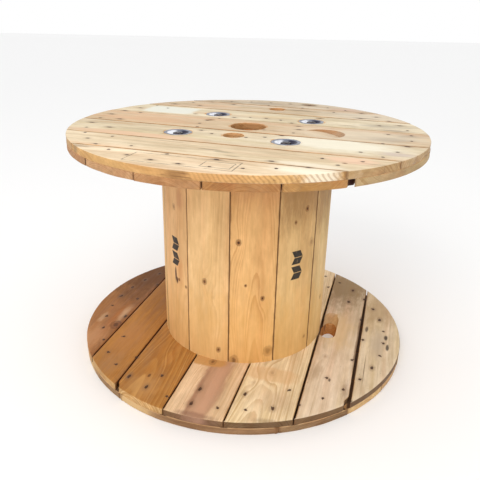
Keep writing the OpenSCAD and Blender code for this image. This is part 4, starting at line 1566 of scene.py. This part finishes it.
def ringed(name, profile, sides):
    """A ring turned round Z from a closed profile of (radius, height)."""
    coords = [(r * math.cos(math.tau * k / sides), r * math.sin(math.tau * k / sides), z)
              for k in range(sides) for r, z in profile]
    n = len(profile)
    faces = [(k * n + j, ((k + 1) % sides) * n + j, ((k + 1) % sides) * n + (j + 1) % n,
              k * n + (j + 1) % n) for k in range(sides) for j in range(n)]
    return finished_mesh(name, coords, faces)


def washer_profile():
    """The pressed washer's section: flat rim, rolled shoulder, dish wall and flat floor."""
    outer, mouth, floor = WASHER_D / 2 - 0.0002, 0.030, 0.016
    bore = BOLT_D / 2 + 0.0005
    upper = [(bore, -DISH_DEPTH), (floor - 0.002, -DISH_DEPTH), (floor, -DISH_DEPTH + 0.0006)]
    upper += [(floor + 0.0025, -DISH_DEPTH + 0.0028), (mouth - 0.004, -0.0034)]
    upper += [(mouth - 0.0012, -0.0012), (mouth + 0.0008, -0.0003), (outer - 0.0012, -0.0001)]
    upper += [(outer - 0.0003, -0.0004), (outer, -0.0010)]
    lower = [(outer, -WASHER_T + 0.0003), (outer - 0.0005, -WASHER_T), (mouth, -WASHER_T)]
    lower += [(mouth - 0.003, -0.0046), (floor, -DISH_DEPTH - WASHER_T + 0.0006)]
    lower += [(floor - 0.001, -DISH_DEPTH - WASHER_T), (bore, -DISH_DEPTH - WASHER_T)]
    return upper + lower


def hexagon(name, bottom, top, bore):
    """A hexagon with turned chamfers at both faces, bored right through if it is a nut."""
    corner = NUT_FLATS / 2 / math.cos(math.radians(30)) - 0.0001
    flat = NUT_FLATS / 2
    sides = 48
    levels = [(bottom, 0.94), (bottom + 0.0012, 1.0), (top - 0.0012, 1.0), (top, 0.94)]
    coords, faces = [], []
    for z, limit in levels:
        for k in range(sides):
            a = math.tau * k / sides
            from_flat = (a % (math.pi / 3)) - math.pi / 6
            r = min(flat / math.cos(from_flat), corner if limit == 1.0 else corner * limit)
            coords.append((r * math.cos(a), r * math.sin(a), z))
    inner = bore if bore else 0.0001
    for z in (top, bottom):
        coords += [(inner * math.cos(math.tau * k / sides), inner * math.sin(math.tau * k / sides), z)
                   for k in range(sides)]
    rows = len(levels) + 2
    for j in range(rows - 1 if not bore else rows):
        for k in range(sides):
            n = (k + 1) % sides
            m = (j + 1) % rows
            faces.append((j * sides + k, j * sides + n, m * sides + n, m * sides + k))
    if not bore:
        faces.append(tuple(range((rows - 1) * sides, rows * sides)))
        faces.append(tuple(range((rows - 2) * sides, (rows - 1) * sides)))
        faces = [f for f in faces if not (len(f) == 4 and (rows - 2) * sides <= min(f))]
    return finished_mesh(name, coords, faces)


def bolt_shank(name, bottom, top, thread_from):
    """A bolt's shank: plain low down, and with the ridges of its thread near the end."""
    r, pitch = BOLT_D / 2 - 0.0001, 0.002
    profile = [(0.0, bottom), (r, bottom), (r, thread_from)]
    z = thread_from
    while z < top - 2 * pitch:
        profile += [(r - 0.0011, z + 0.4 * pitch), (r, z + pitch)]
        z += pitch
    profile += [(r - 0.0011, top - 0.0016), (r - 0.0018, top), (0.0, top)]
    return turned(name, profile, 24)


for i, bolt in enumerate(BOLTS, 1):
    for flange, face_z, up in (("bottom", 0.0, -1), ("top", DRUM_H, 1)):
        node = f"{flange}_washer_{i}"
        washer = ringed(node + "_pressed", washer_profile(), 56)
        in_place(washer, (bolt.x, bolt.y, face_z), up)
        washer.data.materials.append(WASHER_ZINC)
        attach(washer, "root")
        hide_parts(node)

    head = hexagon("head", DISH_DEPTH - NUT_H, DISH_DEPTH - 0.0001, None)
    bolt_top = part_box(f"tie_bolt_{i}")[1].z
    shank = bolt_shank("shank", DISH_DEPTH - 0.0002, bolt_top, DRUM_H - 0.06)
    head.data.materials.append(BOLT_ZINC)
    whole = joined(f"tie_bolt_{i}_zinc", [head, shank])
    in_place(whole, (bolt.x, bolt.y, 0.0), 1)
    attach(whole, "root")
    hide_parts(f"tie_bolt_{i}")

    nut = hexagon(f"nut_{i}_zinc", DRUM_H - DISH_DEPTH, DRUM_H - DISH_DEPTH + NUT_H, BOLT_D / 2)
    in_place(nut, (bolt.x, bolt.y, 0.0), 1)
    nut.data.materials.append(BOLT_ZINC)
    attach(nut, "root")
    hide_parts(f"nut_{i}")


# ---- The floor and the light: a plain pale floor that runs far out on every side, an
# even white sky, and one large soft lamp up on the left in front of the drum.
FLOOR_HALF = 20
floor_mesh = bpy.data.meshes.new("floor")
floor_mesh.from_pydata([(x * FLOOR_HALF, y * FLOOR_HALF, 0)
                        for x, y in ((-1, -1), (1, -1), (1, 1), (-1, 1))], [], [(0, 1, 2, 3)])
floor = put_in_scene("floor", floor_mesh)
paper = bpy.data.materials.new("pale_floor")
paper.use_nodes = True
paper.node_tree.nodes["Principled BSDF"].inputs["Base Color"].default_value = (0.92, 0.92, 0.92, 1)
paper.node_tree.nodes["Principled BSDF"].inputs["Roughness"].default_value = 0.9
floor_mesh.materials.append(paper)

world = bpy.data.worlds.new("studio")
world.use_nodes = True
world.node_tree.nodes["Background"].inputs["Color"].default_value = (1.0, 1.0, 1.0, 1)
world.node_tree.nodes["Background"].inputs["Strength"].default_value = 1.0
bpy.context.scene.world = world
bpy.context.scene.view_settings.view_transform = "Standard"


def soft_light(name, place, target, size, power, colour):
    """A square studio light at a place, facing a target."""
    light = bpy.data.lights.new(name, "AREA")
    light.size = size
    light.energy = power
    light.color = colour
    lamp = put_in_scene(name, light)
    lamp.location = place
    lamp.rotation_euler = (Vector(target) - Vector(place)).to_track_quat("-Z", "Y").to_euler()


soft_light("key", (-0.9, -2.6, 2.7), (0, 0, 0.3), 1.6, 42, (1.0, 0.97, 0.92))
